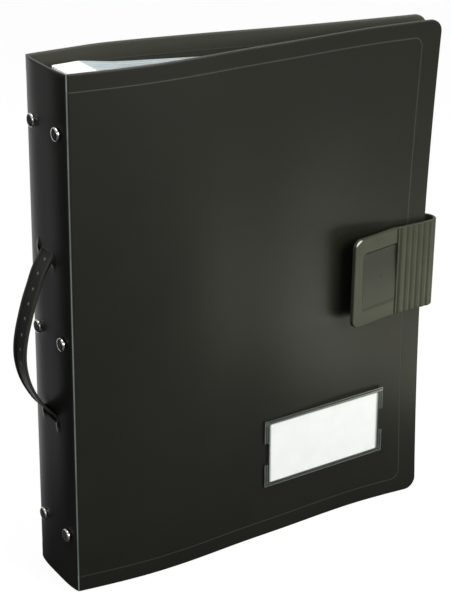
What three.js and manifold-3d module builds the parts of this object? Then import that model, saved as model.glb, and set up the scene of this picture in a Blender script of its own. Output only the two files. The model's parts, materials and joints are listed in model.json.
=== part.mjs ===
// A4 ring binder in black polypropylene: a folded cover sheet with a bowed spine, a carry strap,
// a four ring mechanism, a wrap-round fore-edge closure, a label holder and punched pockets.
// Millimetres. X runs from the spine to the fore-edge, Y from the front cover to the back cover
// and Z up. The binder stands on its bottom edges.

import * as THREE from 'three';
import { mergeVertices } from 'three/addons/utils/BufferGeometryUtils.js';
import ManifoldModule from 'manifold-3d';

const wasm = await ManifoldModule();
wasm.setup();

// Clearances shared by all the pieces.
const seatGap = 0.3;
const runningGap = 0.4;
const slidingGap = 0.1;
const overrun = 2;

// Cover sheet.
const coverHeight = 320;
const coverWidth = 253.4;
const spineDepth = 49.1;
const sheetThickness = 1.4;
const coverCornerRadius = 8;
const hingeGap = 0.42;
const spineBow = 1.9;
const spineBowPower = 4;
const frontBulge = 4.6;
const claspPull = 6.3;
const pullAcrossPower = 1.5;
const pullUpPower = 0.9;

// Outline of each cover from the spine, as shares of the width and of the bulge or the depth.
const frontShapeShares = [
  [0, 0], [0.18, -1], [0.355, -0.76], [0.435, -0.33], [0.59, 0], [0.81, 0.6], [1, 0],
];
const backShapeShares = [
  [0, 1], [0.1, 1.0244], [0.197, 1.0326], [0.414, 0.8595], [0.612, 0.6517], [0.81, 0.4786],
  [1, 0.338],
];

// Score line pressed into both covers.
const scoreInset = 10;
const scoreEdgeInset = 13;
const scoreCornerRadius = 6;
const scoreWidth = 1.2;

// Spine rivets.
const rivetEndDistance = 12.5;
const rivetPitchAcross = 30.2;
const rivetHeadRadius = 4.4;
const rivetHeadHeight = 1.7;
const rivetCupRadius = 2.5;
const rivetCupDepth = 0.5;
const rivetStemRadius = 1.9;
const rivetTailRadius = 2.9;
const rivetTailThickness = 0.6;

// Rivet head: heights and radii of its turns, as shares of the head's height and of its rim.
const rivetSideShare = 0.3;
const rivetShoulderShare = 0.6;
const rivetShoulderDropShare = 0.12;
const rivetCrestShare = 0.15;
const rivetDishShare = 0.6;

// Ring mechanism.
const plateWidth = 37;
const plateEndMargin = 22.5;
const plateThickness = 1;
const plateCornerRadius = 5;
const plateBossRadius = 4;
const housingWidth = 22;
const housingEndMargin = 8.5;
const housingWall = 0.8;
const housingShoulder = 3;
const housingCrown = 6;
const bladeThickness = 1;
const bladeLift = 0.6;
const ringEndDistance = 35;
const ringCount = 4;
const ringWireRadius = 1.6;
const ringHalfWidth = 18;
const ringCornerRadius = 8;
const ringFootOffset = 6.8;
const ringFootBend = 3;
const ringLowerBend = 3.2;
const ringOpenAngle = THREE.MathUtils.degToRad(15);

// Punched pockets on the rings.
const pocketEndGap = 5;
const pocketEdgeDistance = 12;
const pocketBindingWidth = 18;
const pocketBundles = 4;
const pocketForeEdgeMargin = 11.4;
const pocketRearSpace = 1.5;
const holeHalfHeight = 2.1;
const channelCornerShare = 0.3;

// Places along the pockets, and the front and rear of their stack as shares of the spine's depth.
const pocketStationShares = [0.16, 0.33, 0.66, 0.85, 1];
const pocketFrontShares = [0.145, 0.13, 0.17, 0.226, 0.214];
const pocketRearShares = [0.6, 0.37, 0.355, 0.343, 0.315];

// Carry strap.
const strapWidth = 15.5;
const strapThickness = 1.6;
const strapRimWidth = 2.2;
const strapRimHeight = 0.5;
const strapReach = 18.4;
const strapSlotPitch = 100;
const strapOffset = 2;
const strapTongueLength = 20;
const strapStopWidth = 21;
const strapStopLength = 6;
const slotHeight = 8.4;
const slotMargin = 0.8;
const slotLeanShare = 0.125;
const tongueTurnShare = 0.62;

// Bow of the strap: places down from the upper slot and reach out, as shares of pitch and reach.
const strapShares = [
  [0.1, 0.27], [0.19, 0.46], [0.28, 0.645], [0.37, 0.79], [0.46, 0.915], [0.545, 0.99],
  [0.62, 1], [0.7, 0.94], [0.78, 0.81], [0.86, 0.6], [0.93, 0.36],
];

// Fore-edge closure.
const closureHeight = 58.6;
const closureThickness = 1.8;
const closureReach = 3.64;
const closureFrontLevel = 2.8;
const bandGroovePitch = 4.4;
const bandGrooveWidth = 1.3;
const bandGrooveDepth = 0.7;
const bandGrooves = 5;
const bandLength = 25.24;
const bandStartShare = 0.25;
const ridgeWidth = 2.2;
const ridgeHeight = 0.6;
const flexGrooveWidth = 2.2;
const flexGrooveDepth = 1;
const flexUnderShare = 0.6;
const flankShare = 0.2;
const tabLength = 39.5;
const tabThickness = 2.6;
const tabCornerRadius = 6;
const tabFrameSide = 8;
const tabFrameEnd = 10;
const tabRecessDepth = 1.1;
const tabRecessRadius = 1.5;
const tabFlare = THREE.MathUtils.degToRad(11.2);
const baseLength = 52;
const baseSeat = 0.45;
const baseCornerRadius = 5;
const closureRivetPitch = 36;
const closureRivetInset = 15;

// Press stud that holds the closure.
const studRadius = 2.2;
const studDepth = 2.2;
const studInset = 17;
const socketBossRadius = 5;
const socketFlangeRadius = 7.5;
const socketFlangeThickness = 0.9;
const socketStemRadius = 2.4;
const washerRadius = 5.5;
const washerThickness = 0.7;

// Label holder and its card.
const labelLeft = 131.5;
const labelBottom = 34.5;
const holderWidth = 93.5;
const holderHeight = 45.5;
const holderWindow = 0.4;
const holderRail = 2;
const holderThickness = 1.3;
const cardSideGap = 4.75;
const cardTopGap = 3.1;
const cardThickness = 0.3;
const cardRise = 2.4;
const thumbNotchDepth = 2.6;
const thumbNotchHeight = 15;

// Facet counts.
const coverColumns = 16;
const coverRows = 12;
const cornerColumns = 5;
const bendColumns = 9;
const bowSteps = 12;
const roundSides = 14;
const holeSides = 14;
const wireSides = 8;
const ringSteps = 20;
const archSteps = 10;
const scoreSteps = 36;
const scoreSides = 6;
const strapSteps = 44;

const middle = spineDepth / 2;
const centreHeight = coverHeight / 2;
const plateLength = coverHeight - 2 * plateEndMargin;
const housingLength = plateLength - 2 * housingEndMargin;
const rivetPitchUp = plateLength / 2 - rivetEndDistance;
const pocketHeight = coverHeight - 2 * pocketEndGap;
const ringPitch = (pocketHeight - 2 * ringEndDistance) / (ringCount - 1);
const cardWidth = holderWidth - 2 * cardSideGap;
const cardHeight = holderHeight - cardRise - cardTopGap;

// Materials.
const cover = () => new THREE.MeshStandardMaterial({ color: 0x30312b, roughness: 0.5 });
const strapPlastic = () => new THREE.MeshStandardMaterial({ color: 0x22221f, roughness: 0.6 });
const closurePlastic = () => new THREE.MeshStandardMaterial({ color: 0x5a5d50, roughness: 0.55 });
const nickel = () => new THREE.MeshStandardMaterial({ color: 0xc9c9c4, roughness: 0.25, metalness: 1 });
const film = () => new THREE.MeshStandardMaterial({ color: 0xe9f0f8, roughness: 0.35 });
const card = () => new THREE.MeshStandardMaterial({ color: 0xf6f7fb, roughness: 0.8 });
const clearPlastic = () => new THREE.MeshStandardMaterial({
  color: 0xb9bdb4, roughness: 0.2, transparent: true, opacity: 0.35,
});

// A smooth curve through rows of place and value.
function smoothTable(rows) {
  const slopes = rows.map((row, index) => {
    const before = rows[Math.max(index - 1, 0)];
    const after = rows[Math.min(index + 1, rows.length - 1)];
    return (after[1] - before[1]) / (after[0] - before[0]);
  });
  return (place) => {
    const found = rows.findIndex((row, index) => index > 0 && place <= row[0]);
    const index = found < 0 ? rows.length - 1 : found;
    const [start, startValue] = rows[index - 1];
    const [end, endValue] = rows[index];
    const span = end - start;
    const s = (place - start) / span;
    const rise = s * s * (3 - 2 * s);
    const startLean = s * (1 - s) * (1 - s) * span * slopes[index - 1];
    const endLean = s * s * (s - 1) * span * slopes[index];
    return startValue + (endValue - startValue) * rise + startLean + endLean;
  };
}

const frontShape = smoothTable(frontShapeShares);
const backShape = smoothTable(backShapeShares);

// Outer face of the front cover: bulged near the spine and drawn in at the fore-edge by the closure.
function frontFace(x, z) {
  const across = x / coverWidth;
  const up = Math.max(Math.sin(Math.PI * z / coverHeight), 0);
  const pull = claspPull * across ** pullAcrossPower * up ** pullUpPower;
  return frontBulge * frontShape(across) + pull;
}

// Outer face of the back cover.
function backFace(x) {
  return spineDepth * backShape(x / coverWidth);
}

// Outer face of the spine, flat behind the mechanism and turned in at both hinges.
function spineFace(y) {
  const away = Math.abs(y - middle) / middle;
  return -spineBow * (1 - away ** spineBowPower);
}

function toSolid(geometry) {
  const bare = geometry.clone();
  bare.deleteAttribute('normal');
  bare.deleteAttribute('uv');
  const merged = mergeVertices(bare.index ? bare.toNonIndexed() : bare);
  return new wasm.Manifold(new wasm.Mesh({
    numProp: 3,
    vertProperties: new Float32Array(merged.attributes.position.array),
    triVerts: new Uint32Array(merged.index.array),
  }));
}

function toGeometry(solid) {
  const mesh = solid.getMesh();
  const geometry = new THREE.BufferGeometry();
  geometry.setAttribute('position', new THREE.BufferAttribute(mesh.vertProperties, 3));
  geometry.setIndex(new THREE.BufferAttribute(mesh.triVerts, 1));
  geometry.computeVertexNormals();
  return geometry;
}

function cut(body, tools) {
  return tools.reduce((solid, tool) => solid.subtract(toSolid(tool)), body);
}

function join(body, tools) {
  return tools.reduce((solid, tool) => solid.add(toSolid(tool)), body);
}

const binder = new THREE.Group();
const placed = new THREE.Group();
placed.add(binder);

function addPiece(name, geometry, material, parent = binder) {
  const mesh = new THREE.Mesh(geometry, material);
  mesh.name = name;
  parent.add(mesh);
  return mesh;
}

// Turns a shape drawn across and up to face the spine: depth runs along +X.
const facingSpine = new THREE.Matrix4().makeBasis(
  new THREE.Vector3(0, 1, 0), new THREE.Vector3(0, 0, 1), new THREE.Vector3(1, 0, 0),
);

// Turns a shape drawn across and up to face the covers: depth runs along -Y.
const facingCover = new THREE.Matrix4().makeBasis(
  new THREE.Vector3(1, 0, 0), new THREE.Vector3(0, 0, 1), new THREE.Vector3(0, -1, 0),
);

function extrude(shape, depth, curveSegments = cornerColumns) {
  return new THREE.ExtrudeGeometry(shape, { depth, bevelEnabled: false, curveSegments });
}

function roundedRectangle(left, bottom, width, height, radius) {
  const right = left + width;
  const top = bottom + height;
  const shape = new THREE.Shape();
  shape.moveTo(left + radius, bottom);
  shape.lineTo(right - radius, bottom);
  shape.absarc(right - radius, bottom + radius, radius, -Math.PI / 2, 0);
  shape.lineTo(right, top - radius);
  shape.absarc(right - radius, top - radius, radius, 0, Math.PI / 2);
  shape.lineTo(left + radius, top);
  shape.absarc(left + radius, top - radius, radius, Math.PI / 2, Math.PI);
  shape.lineTo(left, bottom + radius);
  shape.absarc(left + radius, bottom + radius, radius, Math.PI, Math.PI * 1.5);
  return shape;
}

// A box between two opposite corners.
function boxBetween(low, high) {
  const size = high.clone().sub(low);
  const box = new THREE.BoxGeometry(size.x, size.y, size.z);
  const centre = low.clone().add(high).multiplyScalar(0.5);
  return box.translate(centre.x, centre.y, centre.z);
}

// A round bar along X or Y from one place to another.
function barAlongX(radius, from, to, y, z) {
  const bar = new THREE.CylinderGeometry(radius, radius, to - from, holeSides);
  bar.rotateZ(-Math.PI / 2);
  return bar.translate((from + to) / 2, y, z);
}

function barAlongY(radius, from, to, x, z) {
  const bar = new THREE.CylinderGeometry(radius, radius, to - from, holeSides);
  return bar.translate(x, (from + to) / 2, z);
}

// A tube with a many-sided section along a path.
function tube(path, radius, sides, steps) {
  const section = new THREE.Shape();
  for (let side = 0; side < sides; side += 1) {
    const turn = (side + 0.5) / sides * Math.PI * 2;
    const x = radius * Math.cos(turn);
    const y = radius * Math.sin(turn);
    if (side === 0) section.moveTo(x, y);
    else section.lineTo(x, y);
  }
  return new THREE.ExtrudeGeometry(section, { steps, bevelEnabled: false, extrudePath: path });
}

// A path of straight runs joined by rounded corners.
function roundedPath(points, radii) {
  const path = new THREE.CurvePath();
  let from = points[0];
  for (let index = 1; index < points.length - 1; index += 1) {
    const corner = points[index];
    const radius = radii[index - 1];
    const back = points[index - 1].clone().sub(corner).setLength(radius).add(corner);
    const ahead = points[index + 1].clone().sub(corner).setLength(radius).add(corner);
    path.add(new THREE.LineCurve3(from, back));
    path.add(new THREE.QuadraticBezierCurve3(back, corner, ahead));
    from = ahead;
  }
  path.add(new THREE.LineCurve3(from, points[points.length - 1]));
  return path;
}

// How far the rounded fore-edge corner takes the top and bottom edges in at a place across.
function cornerInset(x) {
  const past = Math.max(x - (coverWidth - coverCornerRadius), 0);
  return coverCornerRadius - Math.sqrt(Math.max(coverCornerRadius ** 2 - past ** 2, 0));
}

// One cover: a curved sheet between its outer face and its inner face, mitred at the hinge.
function coverSheet(face, inward) {
  const columns = [];
  const plain = coverWidth - coverCornerRadius;
  const hingeSide = hingeGap / 2;
  for (let column = 0; column < coverColumns; column += 1) {
    columns.push(hingeSide + (plain - hingeSide) * column / coverColumns);
  }
  for (let column = 0; column <= cornerColumns; column += 1) {
    columns.push(plain + coverCornerRadius * Math.sin(Math.PI / 2 * column / cornerColumns));
  }
  const positions = [];
  for (const depth of [0, sheetThickness]) {
    columns.forEach((x, column) => {
      const place = column === 0 ? x + depth : x;
      const inset = cornerInset(x);
      for (let row = 0; row <= coverRows; row += 1) {
        const z = inset + (coverHeight - 2 * inset) * row / coverRows;
        positions.push(place, face(place, z) + inward * depth, z);
      }
    });
  }
  const line = coverRows + 1;
  const layer = columns.length * line;
  const indices = [];
  const quad = (a, b, c, d) => {
    if (inward > 0) indices.push(a, b, c, a, c, d);
    else indices.push(a, c, b, a, d, c);
  };
  for (let column = 0; column + 1 < columns.length; column += 1) {
    for (let row = 0; row < coverRows; row += 1) {
      const a = column * line + row;
      const b = a + line;
      quad(a, b, b + 1, a + 1);
      quad(a + layer, a + 1 + layer, b + 1 + layer, b + layer);
    }
    const bottom = column * line;
    const top = bottom + coverRows;
    quad(bottom, bottom + layer, bottom + line + layer, bottom + line);
    quad(top, top + line, top + line + layer, top + layer);
  }
  for (let row = 0; row < coverRows; row += 1) {
    const near = row;
    const far = layer - line + row;
    quad(near, near + 1, near + 1 + layer, near + layer);
    quad(far, far + layer, far + 1 + layer, far + 1);
  }
  const geometry = new THREE.BufferGeometry();
  geometry.setAttribute('position', new THREE.Float32BufferAttribute(positions, 3));
  geometry.setIndex(indices);
  return geometry;
}

// The score line: along the bottom, up the fore-edge and back along the top, on a cover's face.
function scoreTool(face) {
  const right = coverWidth - scoreEdgeInset;
  const top = coverHeight - scoreInset;
  const outline = new THREE.Path();
  outline.moveTo(-overrun, scoreInset);
  outline.lineTo(right - scoreCornerRadius, scoreInset);
  const turn = right - scoreCornerRadius;
  outline.absarc(turn, scoreInset + scoreCornerRadius, scoreCornerRadius, -Math.PI / 2, 0);
  outline.lineTo(right, top - scoreCornerRadius);
  outline.absarc(turn, top - scoreCornerRadius, scoreCornerRadius, 0, Math.PI / 2);
  outline.lineTo(-overrun, top);
  const points = outline.getSpacedPoints(scoreSteps);
  const line = points.map((point) => {
    return new THREE.Vector3(point.x, face(Math.max(point.x, 0), point.y), point.y);
  });
  return tube(new THREE.CatmullRomCurve3(line), scoreWidth / 2, scoreSides, scoreSteps * 2);
}

// The closure's stud and its two rivets set the holes in the covers.
const baseAngle = Math.atan2(
  backFace(coverWidth) - backFace(coverWidth - baseLength), baseLength,
);
const baseDirection = new THREE.Vector2(Math.cos(baseAngle), Math.sin(baseAngle));
const baseNormal = new THREE.Vector2(-baseDirection.y, baseDirection.x);
const baseStandOff = baseSeat + closureThickness / 2;
const foreEdge = new THREE.Vector2(coverWidth, backFace(coverWidth));
const bendStart = foreEdge.clone()
  .addScaledVector(baseDirection, closureReach)
  .addScaledVector(baseNormal, baseStandOff);
const closureRivetX = coverWidth - baseLength + closureRivetInset;
const closureRivetRows = [-1, 1].map((side) => centreHeight + side * closureRivetPitch / 2);

// The bend: an arc from the end of the base round to the front band.
const bandMid = closureFrontLevel + closureThickness / 2;
const bendRadius = (bendStart.y - bandMid) / (1 + baseNormal.y);
const bendCentre = bendStart.clone().addScaledVector(baseNormal, -bendRadius);
const bandStart = new THREE.Vector2(bendCentre.x, bandMid);
const tabHinge = new THREE.Vector2(bandStart.x - bandLength, closureFrontLevel);
const studX = tabHinge.x - studInset * Math.cos(tabFlare);

// Front cover with the score line and the hole for the press stud's socket.
const frontSheet = cut(toSolid(coverSheet(frontFace, 1)), [
  scoreTool(frontFace),
  barAlongY(
    socketStemRadius + seatGap, frontFace(studX, centreHeight) - overrun,
    frontFace(studX, centreHeight) + sheetThickness + overrun, studX, centreHeight,
  ),
]);
addPiece('front_cover', toGeometry(frontSheet), cover());

// Back cover with its score line and the two holes for the closure's rivets.
const backSheet = cut(toSolid(coverSheet(backFace, -1)), [
  scoreTool(backFace),
  ...closureRivetRows.map((z) => barAlongY(
    rivetStemRadius + 2 * seatGap, backFace(closureRivetX) - sheetThickness - overrun,
    backFace(closureRivetX) + overrun, closureRivetX, z,
  )),
]);
addPiece('back_cover', toGeometry(backSheet), cover());

// Spine panel with rivet holes and the strap's two slots.
const rivetRows = [-1, 0, 1].map((row) => centreHeight + row * rivetPitchUp);
const rivetColumns = [-1, 1].map((side) => middle + side * rivetPitchAcross / 2);
const rivetPlaces = rivetRows.flatMap((z) => rivetColumns.map((y) => new THREE.Vector2(y, z)));
const strapMiddle = middle + strapOffset;
const slotRows = [1, -1].map((side) => centreHeight + side * strapSlotPitch / 2);
const holeRadius = rivetStemRadius + seatGap;

const spineOutline = new THREE.Shape();
const spineEdge = hingeGap / 2;
for (let step = 0; step <= bowSteps; step += 1) {
  const y = spineDepth - spineEdge - (spineDepth - hingeGap) * step / bowSteps;
  if (step === 0) spineOutline.moveTo(spineFace(y), y);
  else spineOutline.lineTo(spineFace(y), y);
}
for (let step = 0; step <= bowSteps; step += 1) {
  const reach = spineDepth - hingeGap - 2 * sheetThickness;
  const y = spineEdge + sheetThickness + reach * step / bowSteps;
  spineOutline.lineTo(spineFace(y) + sheetThickness, y);
}
const throughSpine = [-spineBow - overrun, sheetThickness + overrun];
const slotHalfWidth = strapWidth / 2 + slotMargin;
const slotLean = slotHeight * slotLeanShare;
const spineSolid = cut(toSolid(extrude(spineOutline, coverHeight)), [
  ...rivetPlaces.map((place) => barAlongX(holeRadius, ...throughSpine, place.x, place.y)),
  ...slotRows.map((z, index) => {
    const lean = index === 0 ? slotLean : -slotLean;
    return boxBetween(
      new THREE.Vector3(throughSpine[0], strapMiddle - slotHalfWidth, z + lean - slotHeight / 2),
      new THREE.Vector3(throughSpine[1], strapMiddle + slotHalfWidth, z + lean + slotHeight / 2),
    );
  }),
]);
addPiece('spine_panel', toGeometry(spineSolid), cover());

// Base plate of the mechanism: clear of the strap's tongues, with a drawn boss at each rivet.
const spineInside = -spineBow + sheetThickness;
const plateBack = spineInside + strapThickness + strapRimHeight + 2 * seatGap;
const plateFront = plateBack + plateThickness;
const bossEdge = middle + rivetPitchAcross / 2 + plateBossRadius;
const bossBack = spineFace(bossEdge) + sheetThickness + seatGap;
const plateShape = roundedRectangle(
  middle - plateWidth / 2, centreHeight - plateLength / 2, plateWidth, plateLength, plateCornerRadius,
);
const plateBlank = extrude(plateShape, plateThickness).applyMatrix4(facingSpine);
plateBlank.translate(plateBack, 0, 0);
const plateWithBosses = join(
  toSolid(plateBlank),
  rivetPlaces.map((place) => barAlongX(
    plateBossRadius, bossBack, plateBack + plateThickness / 2, place.x, place.y,
  )),
);
const plateSolid = cut(
  plateWithBosses,
  rivetPlaces.map((place) => barAlongX(
    holeRadius, bossBack - overrun, plateFront + overrun, place.x, place.y,
  )),
);
addPiece('ring_base_plate', toGeometry(plateSolid), nickel());

// A cupped rivet: flat tail inside, stem through its hole and a domed head with a dished middle.
function rivet(gripLength) {
  const top = rivetHeadHeight + seatGap;
  const tail = gripLength + seatGap + rivetTailThickness;
  const rim = rivetHeadRadius - rivetCupRadius;
  const outline = [
    [0, -tail],
    [rivetTailRadius, -tail],
    [rivetTailRadius, rivetTailThickness - tail],
    [rivetStemRadius, rivetTailThickness - tail],
    [rivetStemRadius, seatGap],
    [rivetHeadRadius, seatGap],
    [rivetHeadRadius, seatGap + rivetHeadHeight * rivetSideShare],
    [rivetCupRadius + rim * rivetShoulderShare, top - rivetHeadHeight * rivetShoulderDropShare],
    [rivetCupRadius + rim * rivetCrestShare, top],
    [rivetCupRadius, top - rivetCupDepth / 2],
    [rivetCupRadius * rivetDishShare, top - rivetCupDepth],
    [0, top - rivetCupDepth],
  ];
  return new THREE.LatheGeometry(outline.map(([x, y]) => new THREE.Vector2(x, y)), roundSides);
}

rivetPlaces.forEach((place, index) => {
  const innerEdge = place.x + Math.sign(middle - place.x) * rivetHeadRadius;
  const seat = spineFace(innerEdge);
  const mesh = addPiece(`spine_rivet_${index + 1}`, rivet(plateFront - seat), nickel());
  mesh.rotation.z = Math.PI / 2;
  mesh.position.set(seat, place.x, place.y);
});

// Sprung housing of the mechanism: an arched channel with a slot for each ring half.
const housingFoot = plateFront + seatGap;
const housingHalf = housingWidth / 2;
function archPoints(inset) {
  const points = [];
  for (let step = 0; step <= archSteps; step += 1) {
    const share = 1 - 2 * step / archSteps;
    const rise = housingCrown - (housingCrown - housingShoulder) * share ** 2;
    const across = middle + share * (housingHalf - inset);
    points.push(new THREE.Vector2(housingFoot + rise - inset, across));
  }
  return points;
}
const outerArch = archPoints(0);
const innerArch = archPoints(housingWall).reverse();
const housingOutline = new THREE.Shape([
  new THREE.Vector2(housingFoot, middle - housingHalf),
  new THREE.Vector2(housingFoot, middle - housingHalf + housingWall),
  ...innerArch,
  new THREE.Vector2(housingFoot, middle + housingHalf - housingWall),
  new THREE.Vector2(housingFoot, middle + housingHalf),
  ...outerArch,
]);
const housingBottom = centreHeight - housingLength / 2;
const housingBlank = extrude(housingOutline, housingLength).translate(0, 0, housingBottom);

const bindingEdge = housingFoot + housingCrown + 2 * seatGap;
const ringTop = bindingEdge + pocketEdgeDistance;
const ringLower = bindingEdge - seatGap - ringWireRadius;
const bladeBack = plateFront + bladeLift;
const bladeFront = bladeBack + bladeThickness;
const pivotOffset = housingHalf - housingWall - runningGap;
const pivotLevel = bladeBack + bladeThickness / 2;
const ringRows = [];
for (let ring = 0; ring < ringCount; ring += 1) {
  ringRows.push(centreHeight + (ring - (ringCount - 1) / 2) * ringPitch);
}
const slotInner = ringFootOffset - ringWireRadius - runningGap;
const slotHalfHeight = ringWireRadius + runningGap;
const housingSolid = cut(toSolid(housingBlank), ringRows.flatMap((z) => [-1, 1].map((side) => {
  const near = middle + side * slotInner;
  const wall = middle + side * (housingHalf - housingWall - seatGap);
  const outside = middle + side * (housingHalf + overrun);
  const above = housingFoot + housingCrown + overrun;
  const underWire = ringLower - ringWireRadius - 2 * runningGap;
  return [[bladeFront + seatGap, wall], [underWire, outside]].map(([level, far]) => boxBetween(
    new THREE.Vector3(level, Math.min(near, far), z - slotHalfHeight),
    new THREE.Vector3(above, Math.max(near, far), z + slotHalfHeight),
  ));
}).flat()));
addPiece('ring_housing', toGeometry(housingSolid), nickel());

// Two blades that toggle about their outer edges, each with four ring halves.
const bladeInner = seatGap;
const sides = [
  { name: 'front', side: -1 },
  { name: 'rear', side: 1 },
];
for (const { name, side } of sides) {
  const inner = middle + side * bladeInner;
  const outer = middle + side * pivotOffset;
  addPiece(`blade_${name}`, boxBetween(
    new THREE.Vector3(bladeBack, Math.min(inner, outer), housingBottom + runningGap),
    new THREE.Vector3(bladeFront, Math.max(inner, outer), housingBottom + housingLength - runningGap),
  ), nickel());
  ringRows.forEach((z, index) => {
    const point = (x, offset) => new THREE.Vector3(x, middle + side * offset, z);
    const path = roundedPath([
      point(bladeFront + seatGap, ringFootOffset),
      point(ringLower, ringFootOffset),
      point(ringLower, ringHalfWidth),
      point(ringTop, ringHalfWidth),
      point(ringTop, seatGap / 2),
    ], [ringFootBend, ringLowerBend, ringCornerRadius]);
    addPiece(`ring_${name}_${index + 1}`, tube(path, ringWireRadius, wireSides, ringSteps), nickel());
  });
}

// Pockets: bundles that share the space between two boundary lines, thick at the binding strip.
const ringInside = ringHalfWidth - ringWireRadius - seatGap;
const bindingFront = middle - ringInside;
const bindingRear = middle + ringInside - pocketRearSpace;
const pocketEnd = coverWidth - pocketForeEdgeMargin;
const stripEnd = bindingEdge + pocketBindingWidth;
const stationLines = [
  { x: bindingEdge, front: bindingFront, rear: bindingRear - sheetThickness },
  { x: stripEnd, front: bindingFront, rear: bindingRear },
  ...pocketStationShares.map((share, index) => ({
    x: stripEnd + (pocketEnd - stripEnd) * share,
    front: spineDepth * pocketFrontShares[index],
    rear: spineDepth * pocketRearShares[index],
  })),
];
const pocketBottom = centreHeight - pocketHeight / 2;
const swing = ringTop - pivotLevel;
const swingOut = swing * Math.cos(ringOpenAngle) + pivotOffset * Math.sin(ringOpenAngle);
const ringSwung = pivotLevel + swingOut;
const channelFar = ringSwung + ringWireRadius + runningGap;
const channelNear = ringTop - ringWireRadius - runningGap;
const channelHalf = ringHalfWidth - ringWireRadius;
const cornerInner = ringCornerRadius - ringWireRadius - runningGap;
const cornerMiddle = cornerInner * channelCornerShare;
const channelOutline = new THREE.Shape([
  new THREE.Vector2(channelFar, middle - channelHalf),
  new THREE.Vector2(channelFar, middle + channelHalf),
  new THREE.Vector2(channelNear - cornerInner, middle + channelHalf),
  new THREE.Vector2(channelNear - cornerMiddle, middle + channelHalf - cornerMiddle),
  new THREE.Vector2(channelNear, middle + channelHalf - cornerInner),
  new THREE.Vector2(channelNear, middle - channelHalf + cornerInner),
  new THREE.Vector2(channelNear - cornerMiddle, middle - channelHalf + cornerMiddle),
  new THREE.Vector2(channelNear - cornerInner, middle - channelHalf),
]);
const channels = ringRows.map((z) => {
  const channel = extrude(channelOutline, 2 * holeHalfHeight);
  return channel.translate(0, 0, z - holeHalfHeight);
});
for (let bundle = 0; bundle < pocketBundles; bundle += 1) {
  const lower = stationLines.map(({ x, front, rear }) => {
    const y = front + (rear - front) * bundle / pocketBundles;
    return new THREE.Vector2(x, y + (bundle === 0 ? 0 : seatGap));
  });
  const upper = stationLines.map(({ x, front, rear }) => {
    return new THREE.Vector2(x, front + (rear - front) * (bundle + 1) / pocketBundles);
  });
  const outline = new THREE.Shape([...lower, ...upper.reverse()]);
  const blank = extrude(outline, pocketHeight).translate(0, 0, pocketBottom);
  addPiece(`pocket_bundle_${bundle + 1}`, toGeometry(cut(toSolid(blank), channels)), film());
}

// Carry strap: bowed out between its slots, with flat tongues and wide stops behind the spine.
const tongueLevel = spineInside + seatGap + strapThickness / 2;
const strapFace = -spineBow;
const strapTop = slotRows[0];
const strapBottom = slotRows[1];
const tongueTurn = slotHeight * tongueTurnShare;
const strapPoints = [
  [tongueLevel, strapTop + strapTongueLength],
  [tongueLevel, strapTop + (strapTongueLength + tongueTurn) / 2],
  [tongueLevel, strapTop + tongueTurn],
  [spineInside - sheetThickness / 2, strapTop + slotLean],
  ...strapShares.map(([down, out]) => [
    strapFace - strapReach * out, strapTop - strapSlotPitch * down,
  ]),
  [spineInside - sheetThickness / 2, strapBottom - slotLean],
  [tongueLevel, strapBottom - tongueTurn],
  [tongueLevel, strapBottom - (strapTongueLength + tongueTurn) / 2],
  [tongueLevel, strapBottom - strapTongueLength],
];
const strapPath = new THREE.CatmullRomCurve3(
  strapPoints.map(([x, z]) => new THREE.Vector3(x, strapMiddle, z)),
);
const halfStrap = strapWidth / 2;
const halfThick = strapThickness / 2;
const halfStop = strapStopWidth / 2;
const rimInner = halfStrap - strapRimWidth;
const strapSection = new THREE.Shape([
  new THREE.Vector2(-halfStrap, -halfThick),
  new THREE.Vector2(halfStrap, -halfThick),
  new THREE.Vector2(halfStrap, halfThick),
  new THREE.Vector2(rimInner, halfThick),
  new THREE.Vector2(rimInner - strapRimHeight, halfThick - strapRimHeight),
  new THREE.Vector2(-rimInner + strapRimHeight, halfThick - strapRimHeight),
  new THREE.Vector2(-rimInner, halfThick),
  new THREE.Vector2(-halfStrap, halfThick),
]);
const strapBlank = new THREE.ExtrudeGeometry(strapSection, {
  steps: strapSteps, bevelEnabled: false, extrudePath: strapPath,
});
const strapStops = slotRows.map((z, index) => {
  const end = z + (index === 0 ? 1 : -1) * strapTongueLength;
  const start = end - (index === 0 ? 1 : -1) * strapStopLength;
  return boxBetween(
    new THREE.Vector3(tongueLevel - halfThick, strapMiddle - halfStop, Math.min(start, end)),
    new THREE.Vector3(tongueLevel + halfThick, strapMiddle + halfStop, Math.max(start, end)),
  );
});
addPiece('handle_strap', toGeometry(join(toSolid(strapBlank), strapStops)), strapPlastic());

// Closure base: a plate on the back cover that reaches past the fore-edge to the bend.
const closureBottom = centreHeight - closureHeight / 2;
const baseTotal = baseLength + closureReach;
const baseShape = new THREE.Shape();
baseShape.moveTo(baseCornerRadius, closureBottom);
baseShape.lineTo(baseTotal - seatGap / 2, closureBottom);
baseShape.lineTo(baseTotal - seatGap / 2, closureBottom + closureHeight);
baseShape.lineTo(baseCornerRadius, closureBottom + closureHeight);
baseShape.absarc(
  baseCornerRadius, closureBottom + closureHeight - baseCornerRadius, baseCornerRadius,
  Math.PI / 2, Math.PI,
);
baseShape.lineTo(0, closureBottom + baseCornerRadius);
baseShape.absarc(
  baseCornerRadius, closureBottom + baseCornerRadius, baseCornerRadius, Math.PI, Math.PI * 1.5,
);
const basePlate = extrude(baseShape, closureThickness).applyMatrix4(facingCover);
basePlate.translate(-baseTotal, closureThickness / 2, 0);
const rivetAlong = closureRivetX - bendStart.x;
const rivetReach = rivetAlong / baseDirection.x;
const baseSolid = cut(toSolid(basePlate), closureRivetRows.map((z) => barAlongY(
  rivetStemRadius + runningGap, -closureThickness - overrun, closureThickness + overrun,
  rivetReach, z,
)));
const closureFrame = new THREE.Group();
closureFrame.position.set(bendStart.x, bendStart.y, 0);
closureFrame.rotation.z = baseAngle;
binder.add(closureFrame);
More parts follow.
